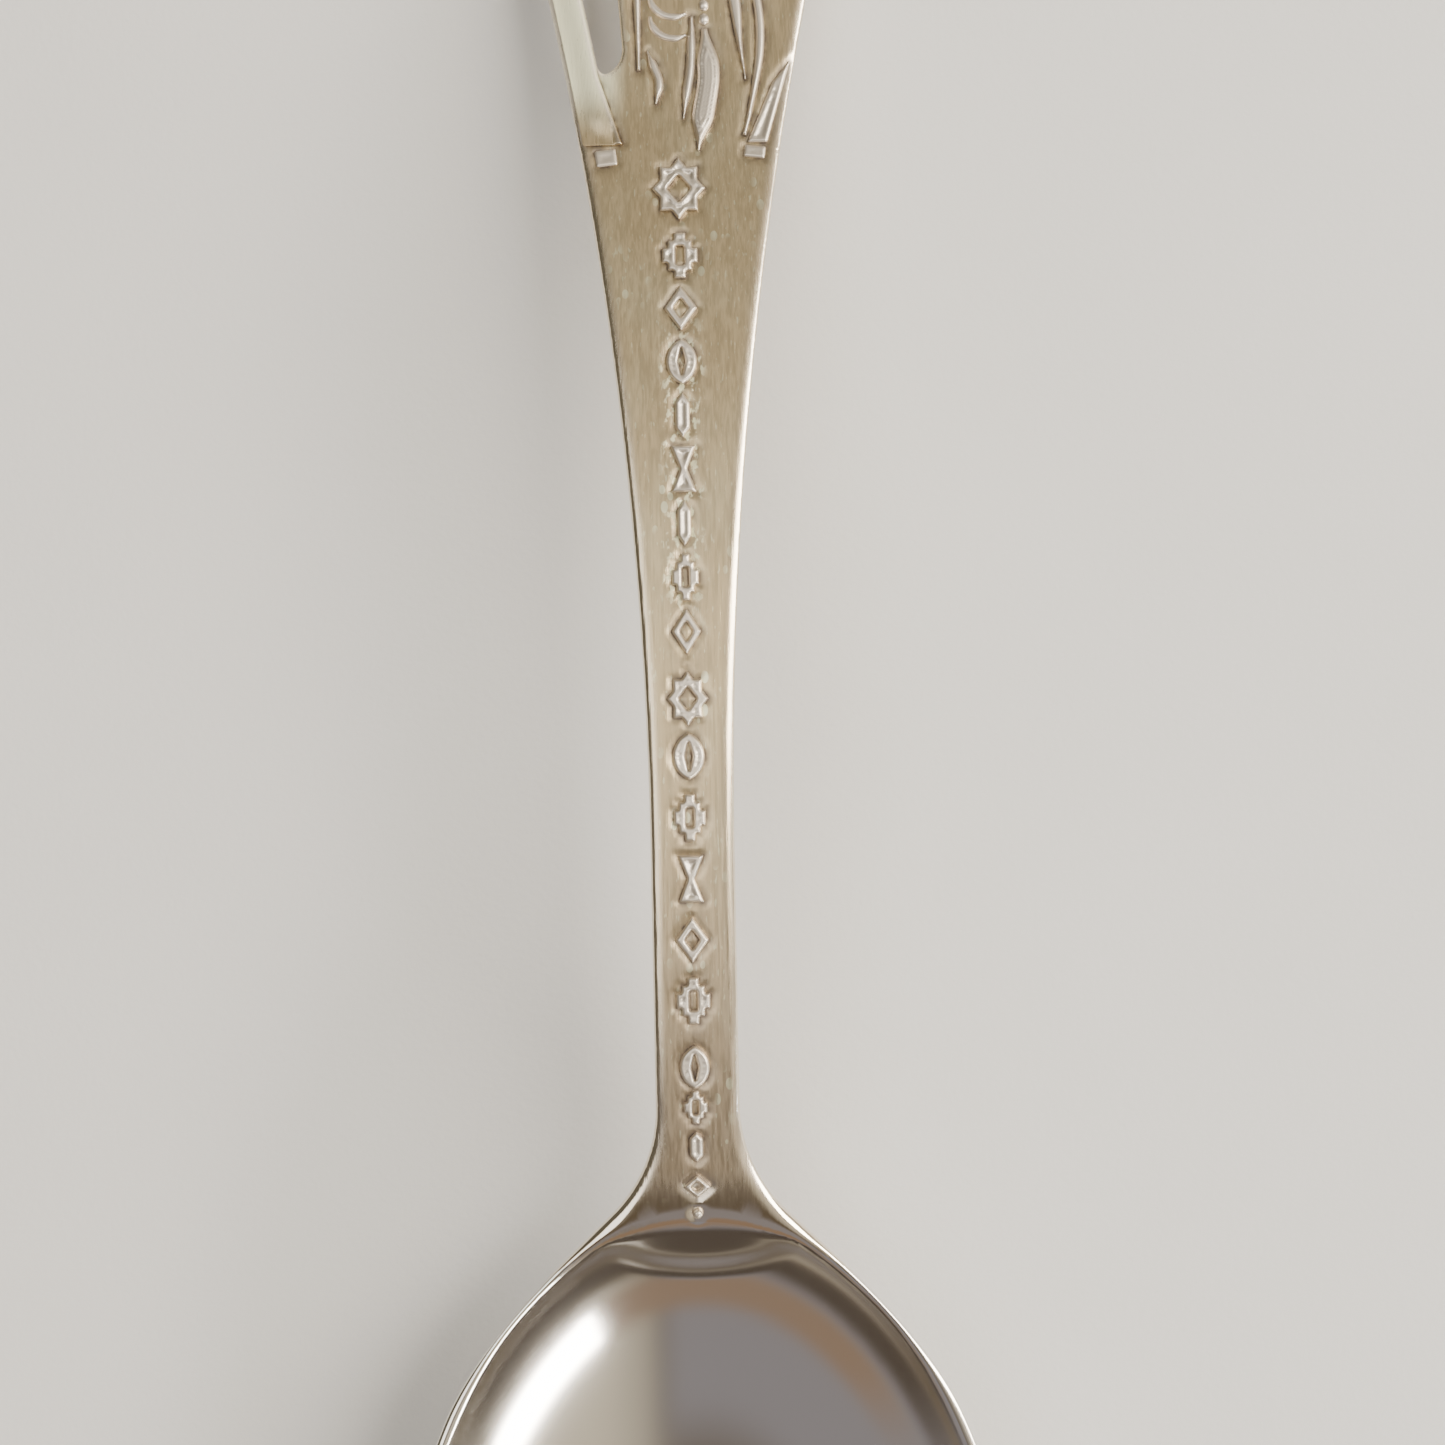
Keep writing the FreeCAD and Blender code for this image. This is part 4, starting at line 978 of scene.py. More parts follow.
def relief_silver(finish, groups):
    """The raised ornament: a painted highlight on the crests of its edges, and tarnish with painted shade
    towards its feet.
    """
    material, tree, shader, place = new_metal("relief_silver")
    brushing = group_node(tree, groups["brushing"], Position=place, Strength=finish.scratches * 0.6)
    mottle = group_node(tree, groups["mottle"], Position=place)
    warm = blend_colour(tree, along_spoon(tree, place, -24, 22), rgba(finish.satin_low), rgba(finish.satin))
    # painted highlight: the crests of the ornament's edges are brightened towards polished silver
    edge = attribute(tree, "edge")
    bright = blend_colour(tree, math_node(tree, "MULTIPLY", edge, 0.34), warm, rgba(finish.polished))
    smear = between(tree, noise(tree, place, (2300, 1700, 2300), 3.0), 0.35, 0.65)
    # tarnish with painted shade, darker down the ornament's slopes towards its foot
    tarnish = math_node(tree, "MULTIPLY_ADD", smear, 0.25, 0.72)
    tarnish = math_node(tree, "MULTIPLY", tarnish, attribute(tree, "tarnish"), clamp=True)
    tarnish = math_node(tree, "ADD", tarnish, math_node(tree, "MULTIPLY", smear, 0.26), clamp=True)
    tarnished_and_shaded = blend_colour(tree, tarnish, bright, rgba(finish.tarnish))
    specks = math_node(tree, "MULTIPLY", mottle.outputs["Specks"], 0.4)
    specked = blend_colour(tree, specks, tarnished_and_shaded, rgba(finish.pale))
    tree.links.new(specked, shader.inputs["Base Color"])
    rough = math_node(tree, "MULTIPLY_ADD", brushing.outputs["Streaks"], 0.1, 0.22)
    rough = math_node(tree, "SUBTRACT", rough, math_node(tree, "MULTIPLY", edge, 0.08))
    rough = math_node(tree, "ADD", rough, math_node(tree, "MULTIPLY", tarnish, 0.2))
    tree.links.new(rough, shader.inputs["Roughness"])
    bump(tree, shader, brushing.outputs["Height"], 0.35, 0.00003)
    return material


def pale_silver(finish, groups):
    """The poles and rails: rubbed pale and a little green, with a painted highlight on their crests and
    tarnish with painted shade at their feet.
    """
    material, tree, shader, place = new_metal("pale_silver")
    brushing = group_node(tree, groups["brushing"], Position=place, Strength=finish.scratches)
    mottle = group_node(tree, groups["mottle"], Position=place)
    clouds = between(tree, mottle.outputs["Clouds"], 0.38, 0.66)
    rubbed = attribute(tree, "rubbed")
    tone = blend_colour(tree, math_node(tree, "MULTIPLY", clouds, 0.2), rgba(finish.pale), rgba(finish.satin))
    tone = blend_colour(tree, rubbed, rgba(finish.satin), tone)
    # painted highlight on the crests of the edges
    edge = attribute(tree, "edge")
    tone = blend_colour(tree, math_node(tree, "MULTIPLY", edge, 0.8), tone, rgba(finish.polished))
    tree.links.new(film(tree, rubbed), shader.inputs["Metallic"])
    # tarnish with painted shade towards the feet
    tarnish = math_node(tree, "MULTIPLY", attribute(tree, "tarnish"), 0.45)
    tree.links.new(blend_colour(tree, tarnish, tone, rgba(finish.tarnish)), shader.inputs["Base Color"])
    rough = math_node(tree, "MULTIPLY_ADD", brushing.outputs["Streaks"], 0.12, 0.27)
    rough = math_node(tree, "SUBTRACT", rough, math_node(tree, "MULTIPLY", edge, 0.13))
    tree.links.new(rough, shader.inputs["Roughness"])
    bump(tree, shader, brushing.outputs["Height"], 0.3, 0.00003)
    return material


MAKERS = {
    "satin_silver": satin_silver,
    "polished_silver": polished_silver,
    "relief_silver": relief_silver,
    "pale_silver": pale_silver,
}


def metal(name):
    """A finish by its name, made on first use with the shared effects."""
    found = bpy.data.materials.get(name)
    if found:
        return found
    groups = {}
    for key, label, make in (
        ("brushing", "lengthwise_brushing", brushing_group),
        ("mottle", "mottle_and_specks", mottle_group),
        ("wiping", "polishing_marks", wiping_group),
    ):
        groups[key] = bpy.data.node_groups.get(label) or make()
    return MAKERS[name](bpy.context.scene.spoon_finish, groups)


# ---------------------------------------------------------------- the blank: bowl, shoulder, stem and head

EDGE_RINGS = (0.02, 0.08, 0.18, 0.33, 0.52, 0.76, 1.0)
WINDOW_EDGE = 0.24
WINDOW_DROP = 0.18
BOWL_SEAM = (9.3, -25.6)  # where the joint of bowl and shoulder meets the outline
SEAM_BELOW_JUNCTION = 0.5
# names of the marks: tarnish with painted shade, edge wear with a painted highlight, and the rubbed film
WEAR_AND_PAINTED_LIGHT = ("tarnish", "edge", "rubbed")

# Spacing of the points inside the blank, and the strips that they keep clear.
BOWL_SPACING = 0.42
HANDLE_SPACING = 0.26
TONGUE_SPACING = 0.16
RELIEF_SPACING = 0.105
RIM_RING_DEPTHS = (0.78, 0.98, 1.22, 1.5)
RIM_CLEAR = 1.75
BOWL_TOP = -20.5
HANDLE_LOW = -24.0
TONGUE_BOX = (6.5, -26.5)  # half width and lower end of the closely meshed part below the neck
NEAR_RELIEF = 0.55


def seam_height(form, x):
    """Y of the curved joint of shoulder and bowl at each X."""
    across, low = BOWL_SEAM
    middle = form.side.junction - SEAM_BELOW_JUNCTION
    return middle + (low - middle) * (x / across) ** 2


def bowl_seam(form):
    """The curved joint of shoulder and bowl, from the left edge to the right."""
    x = np.linspace(-BOWL_SEAM[0], BOWL_SEAM[0], 90)
    return np.stack([x, seam_height(form, x)], 1)


def straight_seam(form, y):
    half = float(form.side_x(y)) if y > form.plan.neck_top else form.plan.neck_half
    x = np.linspace(-half, half, int(half / 0.07))
    return np.stack([x, np.full(len(x), y)], 1)


def blank_points(form, relief, outline):
    """Points inside the blank: sparse in the bowl, closer on the handle, closest beside rim and relief."""
    end = form.side.half_length
    rim = (outline.owner == 0) & (outline.points[:, 1] < BOWL_TOP)
    rings = [outline.points[rim] + outline.inward[rim] * depth for depth in RIM_RING_DEPTHS]
    bowl = grid((-19, -end), (19, HANDLE_LOW), BOWL_SPACING)
    bowl = bowl[outline.distance(bowl)[0] > RIM_CLEAR]
    handle = grid((-11, HANDLE_LOW), (11, end), HANDLE_SPACING)
    handle = handle[(handle[:, 1] > BOWL_TOP) | (outline.distance(handle)[0] > RIM_CLEAR)]
    half, low = TONGUE_BOX
    tongue = grid((-half, low), (half, BOWL_TOP), TONGUE_SPACING)
    tongue = tongue[outline.distance(tongue)[0] > RIM_CLEAR - 0.05]
    middle, reach = (low + BOWL_TOP) / 2, (BOWL_TOP - low) / 2
    bowl = bowl[(abs(bowl[:, 0]) > half) | (abs(bowl[:, 1] - middle) > reach)]
    handle = handle[(abs(handle[:, 0]) > half) | (abs(handle[:, 1] - middle) > reach)]
    near = relief.distance(handle)[0]
    fine = grid((-7, BOWL_TOP), (7, 65), RELIEF_SPACING)
    close = relief.distance(fine)[0]
    near_relief = fine[(close > -NEAR_RELIEF) & (close < 0.12)]
    return np.vstack([*rings, bowl, tongue, handle[near < -NEAR_RELIEF], near_relief, handle[near > 0.2]])


def rubbing(y):
    """How pale the side of the head is rubbed at each Y."""
    return ramp(y, 32.8, 36.0) * (1 - 0.85 * ramp(y, 41, 50))


def blank_heights(form, relief, outline, flat):
    """Heights of the blank's top and back, its tarnish with painted shade, its edge wear with a painted
    highlight, and its rubbing, at each point in plan.
    """
    sizes = form.relief
    x, y = flat[:, 0], flat[:, 1]
    gap, owner = outline.distance(flat)
    gap = np.maximum(gap, 0)
    hole = owner > 0
    below_flare = ramp(y, -22, -27)
    flare = ramp(y, -14.5, -19) * (1 - below_flare)
    width = np.where(hole, WINDOW_EDGE, sizes.edge_width * (1 + 0.7 * flare - 0.25 * below_flare))
    drop = np.where(hole, WINDOW_DROP, sizes.edge_drop * (1 + 0.5 * flare - 0.27 * below_flare))
    beside = relief.distance(flat)[0]
    on_handle = ramp(y, -23.5, -22.5)
    sunk = sizes.moat * np.where(beside > 0, 1.4, np.exp(-((beside / sizes.moat_width) ** 2)))
    top = form.top(x, y) - sunk * on_handle - rounding(gap, width, drop)
    back = form.back(x, y)
    on_bowl = 1 - ramp(y, -25, -22)
    back_drop = np.where(hole, 0.12, 0.26 * (1 - on_bowl))
    back = back + rounding(gap, width * 0.8, 1.0) * back_drop
    back = np.minimum(back, top - 0.04)
    # tarnish with painted shade beside the relief, and darker down the column between the motifs
    tarnish = np.exp(-np.abs(np.minimum(beside + 0.03, 0)) / 0.2) * on_handle
    column = np.exp(-(((x - sizes.motif_x) / 0.85) ** 2)) * ramp(y, -19.5, -17.5) * (1 - ramp(y, 24, 28))
    tarnish = np.maximum(tarnish, 0.45 * column)
    pit_x, pit_y, pit_reach = -4.2, 35.95, 0.4
    pit = np.exp(-(((x - pit_x) ** 2 + (y - pit_y) ** 2) / pit_reach**2))
    tarnish = np.maximum(tarnish, 1.3 * pit)
    top = top - 0.07 * pit
    # edge wear with a painted highlight along the outline and the windows
    edge = np.exp(-((gap / (0.75 * width)) ** 2))
    rubbed = ramp(-x, 2.4, 4.0) * rubbing(y) * (1 - ramp(tarnish, 0.6, 1.2))
    return top, back, tarnish, edge, rubbed


class SPOON_OT_blank(bpy.types.Operator):
    """Make the struck blank as one surface and part it into bowl, shoulder, stem and head"""

    bl_idname = "spoon.blank"
    bl_label = "Blank"

    def execute(self, context):
        form = SpoonForm(context.scene)
        relief = relief_tree(form)
        outline = Outline([form.outline()], form.windows())
        widths = [form.relief.edge_width * 1.3, WINDOW_EDGE, WINDOW_EDGE]
        plan = form.plan
        seams = [bowl_seam(form), straight_seam(form, plan.neck_foot), straight_seam(form, plan.split)]
        flat, faces = triangles(outline, widths, EDGE_RINGS, blank_points(form, relief, outline), seams)
        top, back, *wear_and_painted_light = blank_heights(form, relief, outline, flat)
        corners, polygons = solid(flat, faces, top, back)
        whole = new_piece("whole_blank", corners, polygons, metal("satin_silver"))
        normals = np.empty(len(corners) * 3, np.float32)
        whole.data.vertex_normals.foreach_get("vector", normals)
        normals = normals.reshape(-1, 3)
        bpy.data.objects.remove(whole)
        middle = flat[faces].mean(1)
        limits = (plan.split, plan.neck_foot, seam_height(form, middle[:, 0]))
        region = np.select([middle[:, 1] > limit for limit in limits], [3, 2, 1])
        names = [
            ("polished_bowl", "bowl", "polished_silver", "polished_silver"),
            ("flared_shoulder", "shoulder", "satin_silver", "struck_silver"),
            ("tapered_stem", "stem", "satin_silver", "struck_silver"),
            ("pierced_head", "head_plate", "satin_silver", "struck_silver"),
        ]
        for number, (name, cad_node, finish, slot) in enumerate(names):
            used, local = np.unique(faces[region == number], return_inverse=True)
            corners, polygons = solid(flat[used], local.reshape(-1, 3), top[used], back[used])
            marks = [(key, np.tile(values[used], 2)) for key, values in zip(WEAR_AND_PAINTED_LIGHT, wear_and_painted_light)]
            piece = new_piece(name, corners, polygons, metal(finish), marks)
            both = np.concatenate([used, used + len(flat)])
            piece.data.normals_split_custom_set_from_vertices(normals[both].tolist())
            finish_piece(piece, slot, cad_node)
        return {"FINISHED"}


# ---------------------------------------------------------------- raised ornament

RELIEF_RINGS = (0.03, 0.12, 0.3, 0.55, 0.8, 1.0)
ORNAMENT_SPACING = 0.09
ROOT_DEPTH = 0.1  # how far an ornament goes down into the blank
FOOT_MARGIN = 0.03  # how far its edge starts below the sunk line
BARB_PITCH = 0.2


def raise_ornament(form, name, loops, holes, finish, height=1.0, **shape):
    """A struck ornament on the face, in place of the CAD node of that name.

    groove sinks its middle, ridge lifts it towards its middle line, barbs line it lengthwise,
    fade(x, y) is the share of its height to keep, and rubbed is how far it takes the pale film."""
    sizes = form.relief
    outline = Outline(loops, holes)
    low, high = outline.points.min(0), outline.points.max(0)
    fill = grid(low, high, ORNAMENT_SPACING)
    flat, faces = triangles(outline, [sizes.shoulder] * len(outline.loops), RELIEF_RINGS, fill)
    gap = np.maximum(outline.distance(flat)[0], 0)
    base = form.face(flat[:, 1])
    foot = sizes.moat + FOOT_MARGIN
    rise = height * sizes.relief + foot
    top = rise - rounding(gap, sizes.shoulder, rise)
    top -= shape.get("groove", 0) * ramp(gap, 0.2, 0.38)
    top += shape.get("ridge", 0) * np.sqrt(np.clip(gap - 0.08, 0, 0.6))
    top += shape.get("barbs", 0) * np.cos(gap * 2 * math.pi / BARB_PITCH) * ramp(gap, 0.05, 0.12)
    share = shape["fade"](flat[:, 0], flat[:, 1]) if "fade" in shape else np.ones(len(flat))
    top = foot + (top - foot) * np.where(top > foot, share, 1)
    lift = np.clip((top - foot) / sizes.relief, 0, 1)
    corners, polygons = solid(flat, faces, base - foot + top, base - foot - ROOT_DEPTH)
    # tarnish with painted shade, darker down the slopes towards the foot
    tarnish = np.concatenate([(1 - lift) ** 0.7 * share, np.ones(len(flat))])
    # painted highlight on the crest of the rounded edge
    crest = np.exp(-(((gap - 0.14) / 0.08) ** 2)) * (lift > 0.3) * share
    rubbed = rubbing(flat[:, 1]) * shape.get("rubbed", 1)
    marks = [("tarnish", tarnish), ("edge", np.concatenate([crest, np.zeros(len(flat))]))]
    marks.append(("rubbed", np.tile(rubbed, 2)))
    piece = new_piece(f"raised_{name}", corners, polygons, metal(finish), marks)
    finish_piece(piece, "relief_silver", name)


class SPOON_OT_motifs(bpy.types.Operator):
    """Raise the column of motifs on the handle"""

    bl_idname = "spoon.motifs"
    bl_label = "Motifs"

    def execute(self, context):
        form = SpoonForm(context.scene)
        outlines = ornament_outlines(form)
        for name in sorted(key for key in outlines if key.startswith("motif") or key == "end_bead"):
            loops, holes = outlines[name]
            raise_ornament(form, name, loops, holes, "relief_silver", 0.9, groove=0.15)
        return {"FINISHED"}


class SPOON_OT_poles(bpy.types.Operator):
    """Raise the poles, their feet and the rail beside the windows"""

    bl_idname = "spoon.poles"
    bl_label = "Poles and rails"

    def execute(self, context):
        form = SpoonForm(context.scene)
        outlines = ornament_outlines(form)
        for name, height in (("left_foot", 0.2), ("right_foot", 0.34)):
            raise_ornament(form, name, *outlines[name], "relief_silver", height, groove=0.03)

        def outer_side(x, y):
            return ramp(form.side_x(y) - np.abs(x), 0.2, 1.5)

        def above_foot(x, y):
            inner_edge = POLE_FOOT_X + (y - POLE_FOOT_Y) * 0.31
            line = np.clip(1 - (np.abs(x) - inner_edge) / 0.5, 0, 1)
            return outer_side(x, y) * np.maximum(ramp(y, 32.7, 34.2), line)

        raise_ornament(form, "left_pole", *outlines["left_pole"], "pale_silver", 0.9, fade=above_foot)
        raise_ornament(form, "right_pole", *outlines["right_pole"], "relief_silver", 0.6, groove=0.1)
        rail = outlines["right_rail"]
        raise_ornament(form, "right_rail", *rail, "pale_silver", 0.6, fade=outer_side, rubbed=0.3)
        return {"FINISHED"}


class SPOON_OT_hangings(bpy.types.Operator):
    """Raise the crescent, feathers, strands and side column below the shield"""

    bl_idname = "spoon.hangings"
    bl_label = "Hanging ornament"

    def execute(self, context):
        form = SpoonForm(context.scene)
        outlines = ornament_outlines(form)
        for name in hanging_lines():
            barbs = 0.035 if "feather" in name else 0.0
            raise_ornament(form, name, *outlines[name], "relief_silver", 0.75, ridge=0.16, barbs=barbs)
        return {"FINISHED"}


class SPOON_OT_shield(bpy.types.Operator):
    """Raise the shield's rim, ring and boss"""

    bl_idname = "spoon.shield"
    bl_label = "Shield"

    def execute(self, context):
        form = SpoonForm(context.scene)
        for name, (loops, holes) in shield_outlines(form).items():
            raise_ornament(form, name, loops, holes, "relief_silver", 0.9, ridge=0.1)
        return {"FINISHED"}


# ---------------------------------------------------------------- repeated ornament, by Geometry Nodes


def repeat_tree():
    """Sets copies of a motif along a route above the face, each dropped onto the face and square to it."""
    tree = bpy.data.node_groups.new("set_along_route", "GeometryNodeTree")
    socket(tree, "Geometry", "NodeSocketGeometry")
    socket(tree, "Motif", "NodeSocketObject")
    socket(tree, "Face", "NodeSocketObject")
    socket(tree, "Count", "NodeSocketInt", 8)
    socket(tree, "Turn", "NodeSocketFloat", 0.0)
    socket(tree, "Sink", "NodeSocketFloat", 0.0)
    socket(tree, "Finish", "NodeSocketMaterial")
    socket(tree, "Geometry", "NodeSocketGeometry", direction="OUTPUT")
    inputs, outputs = tree.nodes.new("NodeGroupInput").outputs, tree.nodes.new("NodeGroupOutput").inputs
    link = tree.links.new

    spaced = tree.nodes.new("GeometryNodeResampleCurve")
    link(inputs["Geometry"], spaced.inputs["Curve"])
    link(inputs["Count"], spaced.inputs["Count"])
    face = tree.nodes.new("GeometryNodeObjectInfo")
    link(inputs["Face"], face.inputs["Object"])
    drop = tree.nodes.new("GeometryNodeRaycast")
    link(face.outputs["Geometry"], drop.inputs["Target Geometry"])
    drop.inputs["Ray Direction"].default_value = (0, 0, -1)
    drop.inputs["Ray Length"].default_value = 0.1

    upright = tree.nodes.new("FunctionNodeAlignRotationToVector")
    upright.axis = "Z"
    link(drop.outputs["Hit Normal"], upright.inputs["Vector"])
    along = tree.nodes.new("FunctionNodeAlignRotationToVector")
    along.axis, along.pivot_axis = "X", "Z"
    link(upright.outputs[0], along.inputs["Rotation"])
    link(tree.nodes.new("GeometryNodeInputTangent").outputs[0], along.inputs["Vector"])
    turned = tree.nodes.new("FunctionNodeAxisAngleToRotation")
    link(inputs["Turn"], turned.inputs["Angle"])
    spin = tree.nodes.new("FunctionNodeRotateRotation")
    spin.rotation_space = "LOCAL"
    link(along.outputs[0], spin.inputs["Rotation"])
    link(turned.outputs[0], spin.inputs["Rotate By"])

    motif = tree.nodes.new("GeometryNodeObjectInfo")
    link(inputs["Motif"], motif.inputs["Object"])
    copies = tree.nodes.new("GeometryNodeInstanceOnPoints")
    link(spaced.outputs[0], copies.inputs["Points"])
    link(motif.outputs["Geometry"], copies.inputs["Instance"])
    link(spin.outputs[0], copies.inputs["Rotation"])
    settle = tree.nodes.new("GeometryNodeTranslateInstances")
    settle.inputs["Local Space"].default_value = False
    fall = tree.nodes.new("ShaderNodeCombineXYZ")
    depth = tree.nodes.new("ShaderNodeMath")
    depth.operation = "ADD"
    link(drop.outputs["Hit Distance"], depth.inputs[0])
    link(inputs["Sink"], depth.inputs[1])
    negative = tree.nodes.new("ShaderNodeMath")
    negative.operation = "MULTIPLY"
    negative.inputs[1].default_value = -1
    link(depth.outputs[0], negative.inputs[0])
    link(negative.outputs[0], fall.inputs["Z"])
    link(copies.outputs[0], settle.inputs["Instances"])
    link(fall.outputs[0], settle.inputs["Translation"])
    real = tree.nodes.new("GeometryNodeRealizeInstances")
    link(settle.outputs[0], real.inputs[0])
    finish = tree.nodes.new("GeometryNodeSetMaterial")
    link(real.outputs[0], finish.inputs["Geometry"])
    link(inputs["Finish"], finish.inputs["Material"])
    link(finish.outputs[0], outputs["Geometry"])
    return tree


ROUTE_HEIGHT = 20


def route_object(name, points, closed):
    """A flat line of points, in millimetres, drawn above the spoon."""
    curve = bpy.data.curves.new(name, "CURVE")
    curve.dimensions = "3D"
    line = curve.splines.new("POLY")
    line.points.add(len(points) - 1)
    for point, (x, y) in zip(line.points, points):
        point.co = (x * MM, y * MM, ROUTE_HEIGHT * MM, 1)
    line.use_cyclic_u = closed
    made = bpy.data.objects.new(name, curve)
    bpy.context.scene.collection.objects.link(made)
    return made


def repeat_on_face(name, motif, route, count, turn, closed=False, sink=0.04):
    """Makes one plain mesh of copies of a motif along a route, and removes the helpers."""
    tree = bpy.data.node_groups.get("set_along_route") or repeat_tree()
    line = route_object(f"{name}_route", route, closed)
    modifier = line.modifiers.new("copies", "NODES")
    modifier.node_group = tree
    values = {
        "Motif": motif,
        "Face": bpy.data.objects["pierced_head"],
        "Count": count,
        "Turn": turn,
        "Sink": sink * MM,
        "Finish": metal("relief_silver"),
    }
    for item in tree.interface.items_tree:
        if item.in_out == "INPUT" and item.name in values:
            modifier[item.identifier] = values[item.name]
    bpy.context.view_layer.update()
    evaluated = line.evaluated_get(bpy.context.evaluated_depsgraph_get())
    mesh = bpy.data.meshes.new_from_object(evaluated)
    if not mesh.vertices:
        raise RuntimeError(f"{name} has no copies on the face")
    mesh.name = name
    mesh.shade_smooth()
    line.modifiers.clear()
    for helper in (line, motif):
        bpy.data.objects.remove(helper)
    piece = bpy.data.objects.new(name, mesh)
    bpy.context.scene.collection.objects.link(piece)
    return piece


def dome(name, radius, height, waist=0.0):
    """A low round bead. waist pinches it across its middle, as a twist of braid is pinched."""
    rim, rings = 20, 5
    mesh = bmesh.new()
    layer = mesh.verts.layers.float.new("tarnish")
    rows = []
    for ring in range(rings + 1):
        turn = math.pi / 2 * ring / (rings + 0.5)
        row = []
        for side in range(rim):
            angle = 2 * math.pi * side / rim
            pinch = 1 - waist * abs(math.cos(angle)) ** 3
            out = radius * math.cos(turn) * pinch
            level = height * math.sin(turn)
            vertex = mesh.verts.new((out * math.cos(angle) * MM, out * math.sin(angle) * MM, level * MM))
            # tarnish with painted shade, darker down the bead's sides towards its foot
            vertex[layer] = 1 - math.sin(turn)
            row.append(vertex)
        rows.append(row)
    for low, high in zip(rows, rows[1:]):
        for side in range(rim):
            mesh.faces.new((low[side], low[(side + 1) % rim], high[(side + 1) % rim], high[side]))
    mesh.faces.new(rows[-1])
    mesh.faces.new(rows[0][::-1])
    data = bpy.data.meshes.new(name)
    mesh.to_mesh(data)
    mesh.free()
    made = bpy.data.objects.new(name, data)
    bpy.context.scene.collection.objects.link(made)
    return made


def flat_motif(form, name, loop, ridge, height=0.75):
    """A small raised shape on a level base, to be copied."""
    sizes = form.relief
    outline = Outline([loop])
    edge = sizes.shoulder * 0.8
    fill = grid(outline.points.min(0), outline.points.max(0), 0.12)
    flat, faces = triangles(outline, [edge], (0.1, 0.35, 0.7, 1.0), fill)
    gap = np.maximum(outline.distance(flat)[0], 0)
    rise = height * sizes.relief
    top = rise - rounding(gap, edge, rise) + ridge * np.sqrt(np.clip(gap - 0.05, 0, 0.6))
    corners, polygons = solid(flat, faces, top, np.full(len(flat), -ROOT_DEPTH))
    # tarnish with painted shade, darker down the motif's slopes towards its base
    tarnish = np.concatenate([np.clip(1 - top / sizes.relief, 0, 1), np.ones(len(flat))])
    return new_piece(name, corners, polygons, metal("relief_silver"), [("tarnish", tarnish)])


class SPOON_OT_repeats(bpy.types.Operator):
    """Set the braid, draped strands, pips and crest feathers on the head"""

    bl_idname = "spoon.repeats"
    bl_label = "Beads, strands, pips and crest"

    def execute(self, context):
        form = SpoonForm(context.scene)
        sizes, hub = form.relief, (0, form.head_y)
        braid_x, low, beads = 1.32, 39.06, 16
        route = [(braid_x, low), (braid_x, low + sizes.bead_pitch * (beads - 1))]
        bead = dome("bead", 0.33, 0.27, 0.2)
        braid = repeat_on_face("raised_braid", bead, route, beads, -math.pi / 2)
        finish_piece(braid, "relief_silver", "braid_beads")

        swags, radius, wire = 9, 1.42, 0.42
        drape = arc_points((0, 0), radius - wire / 2, 1.0 * math.pi, 1.68 * math.pi, 0.05)
        strand = flat_motif(form, "strand", ribbon(drape, 0.55, 0.5, wire), 0.16, 0.75)
        swag_x, middle = -0.2, 37.85 + radius
        route = [(swag_x, middle), (swag_x, middle + sizes.swag_pitch * (swags - 1))]
        draped = repeat_on_face("raised_swags", strand, route, swags, -math.pi / 2)
        finish_piece(draped, "relief_silver", *[f"swag_{number + 1}" for number in range(swags)])

        pips, pip_circle = 12, 4.2
        pip = dome("pip", 0.36, 0.26)
        circle = arc_points(hub, pip_circle, 0, 2 * math.pi - 0.02, 0.09)
        ring = repeat_on_face("raised_pips", pip, circle, pips, 0, closed=True)
        finish_piece(ring, "relief_silver", "shield_pips")

        crest, step, inner, outer = 7, math.radians(17), 6.55, 9.85
        wide, tall = 1.25, outer - inner
        plume = flat_motif(form, "plume", evenly(leaf(wide, tall)[0][0], 0.07), 0.16, 0.7)
        reach = step * (crest - 1) / 2
        arc = arc_points(hub, (inner + outer) / 2, math.pi / 2 + reach, math.pi / 2 - reach, 0.05)
        feathers = repeat_on_face("raised_crest", plume, arc, crest, 0)
        finish_piece(feathers, "relief_silver", *[f"crest_feather_{number + 1}" for number in range(crest)])
        return {"FINISHED"}


# ---------------------------------------------------------------- floor, light and camera


FLOOR_HALF_WIDTH = 900
FLOOR_LEVEL = -0.02
STUDIO_STRENGTH = 0.85
LIGHTS = (  # name, place, target, width and length, power, tint
    ("key", (0.46, 0.10, 0.33), (0, 0.02, 0), (0.15, 0.72), 6.6, (1.0, 0.93, 0.83)),
    ("window", (0.34, -0.44, 0.22), (0, -0.03, 0), (0.26, 0.10), 2.3, (1.0, 0.95, 0.88)),
    ("sky", (0.52, -0.22, 0.07), (0, -0.03, 0), (0.07, 0.10), 0.6, (0.72, 0.86, 1.0)),
    ("fill", (-0.24, 0.02, 0.60), (0, 0, 0), (0.42, 0.42), 1.5, (1.0, 0.97, 0.92)),
)
CAMERA_PLACE = (0.0016, 0.0034, 0.300)  # straight above the handle
CAMERA_ROLL = -1.088  # degrees
CAMERA_LENS = 145.5
CAMERA_SENSOR = 36.0


def area_light(name, place, target, size, energy, tint):
    data = bpy.data.lights.new(name, "AREA")
    data.shape = "RECTANGLE"
    data.size, data.size_y = size
    data.energy = energy
    data.color = tint
    light = bpy.data.objects.new(name, data)
    light.location = place
    light.rotation_euler = (Vector(target) - Vector(place)).to_track_quat("-Z", "Y").to_euler()
    bpy.context.scene.collection.objects.link(light)


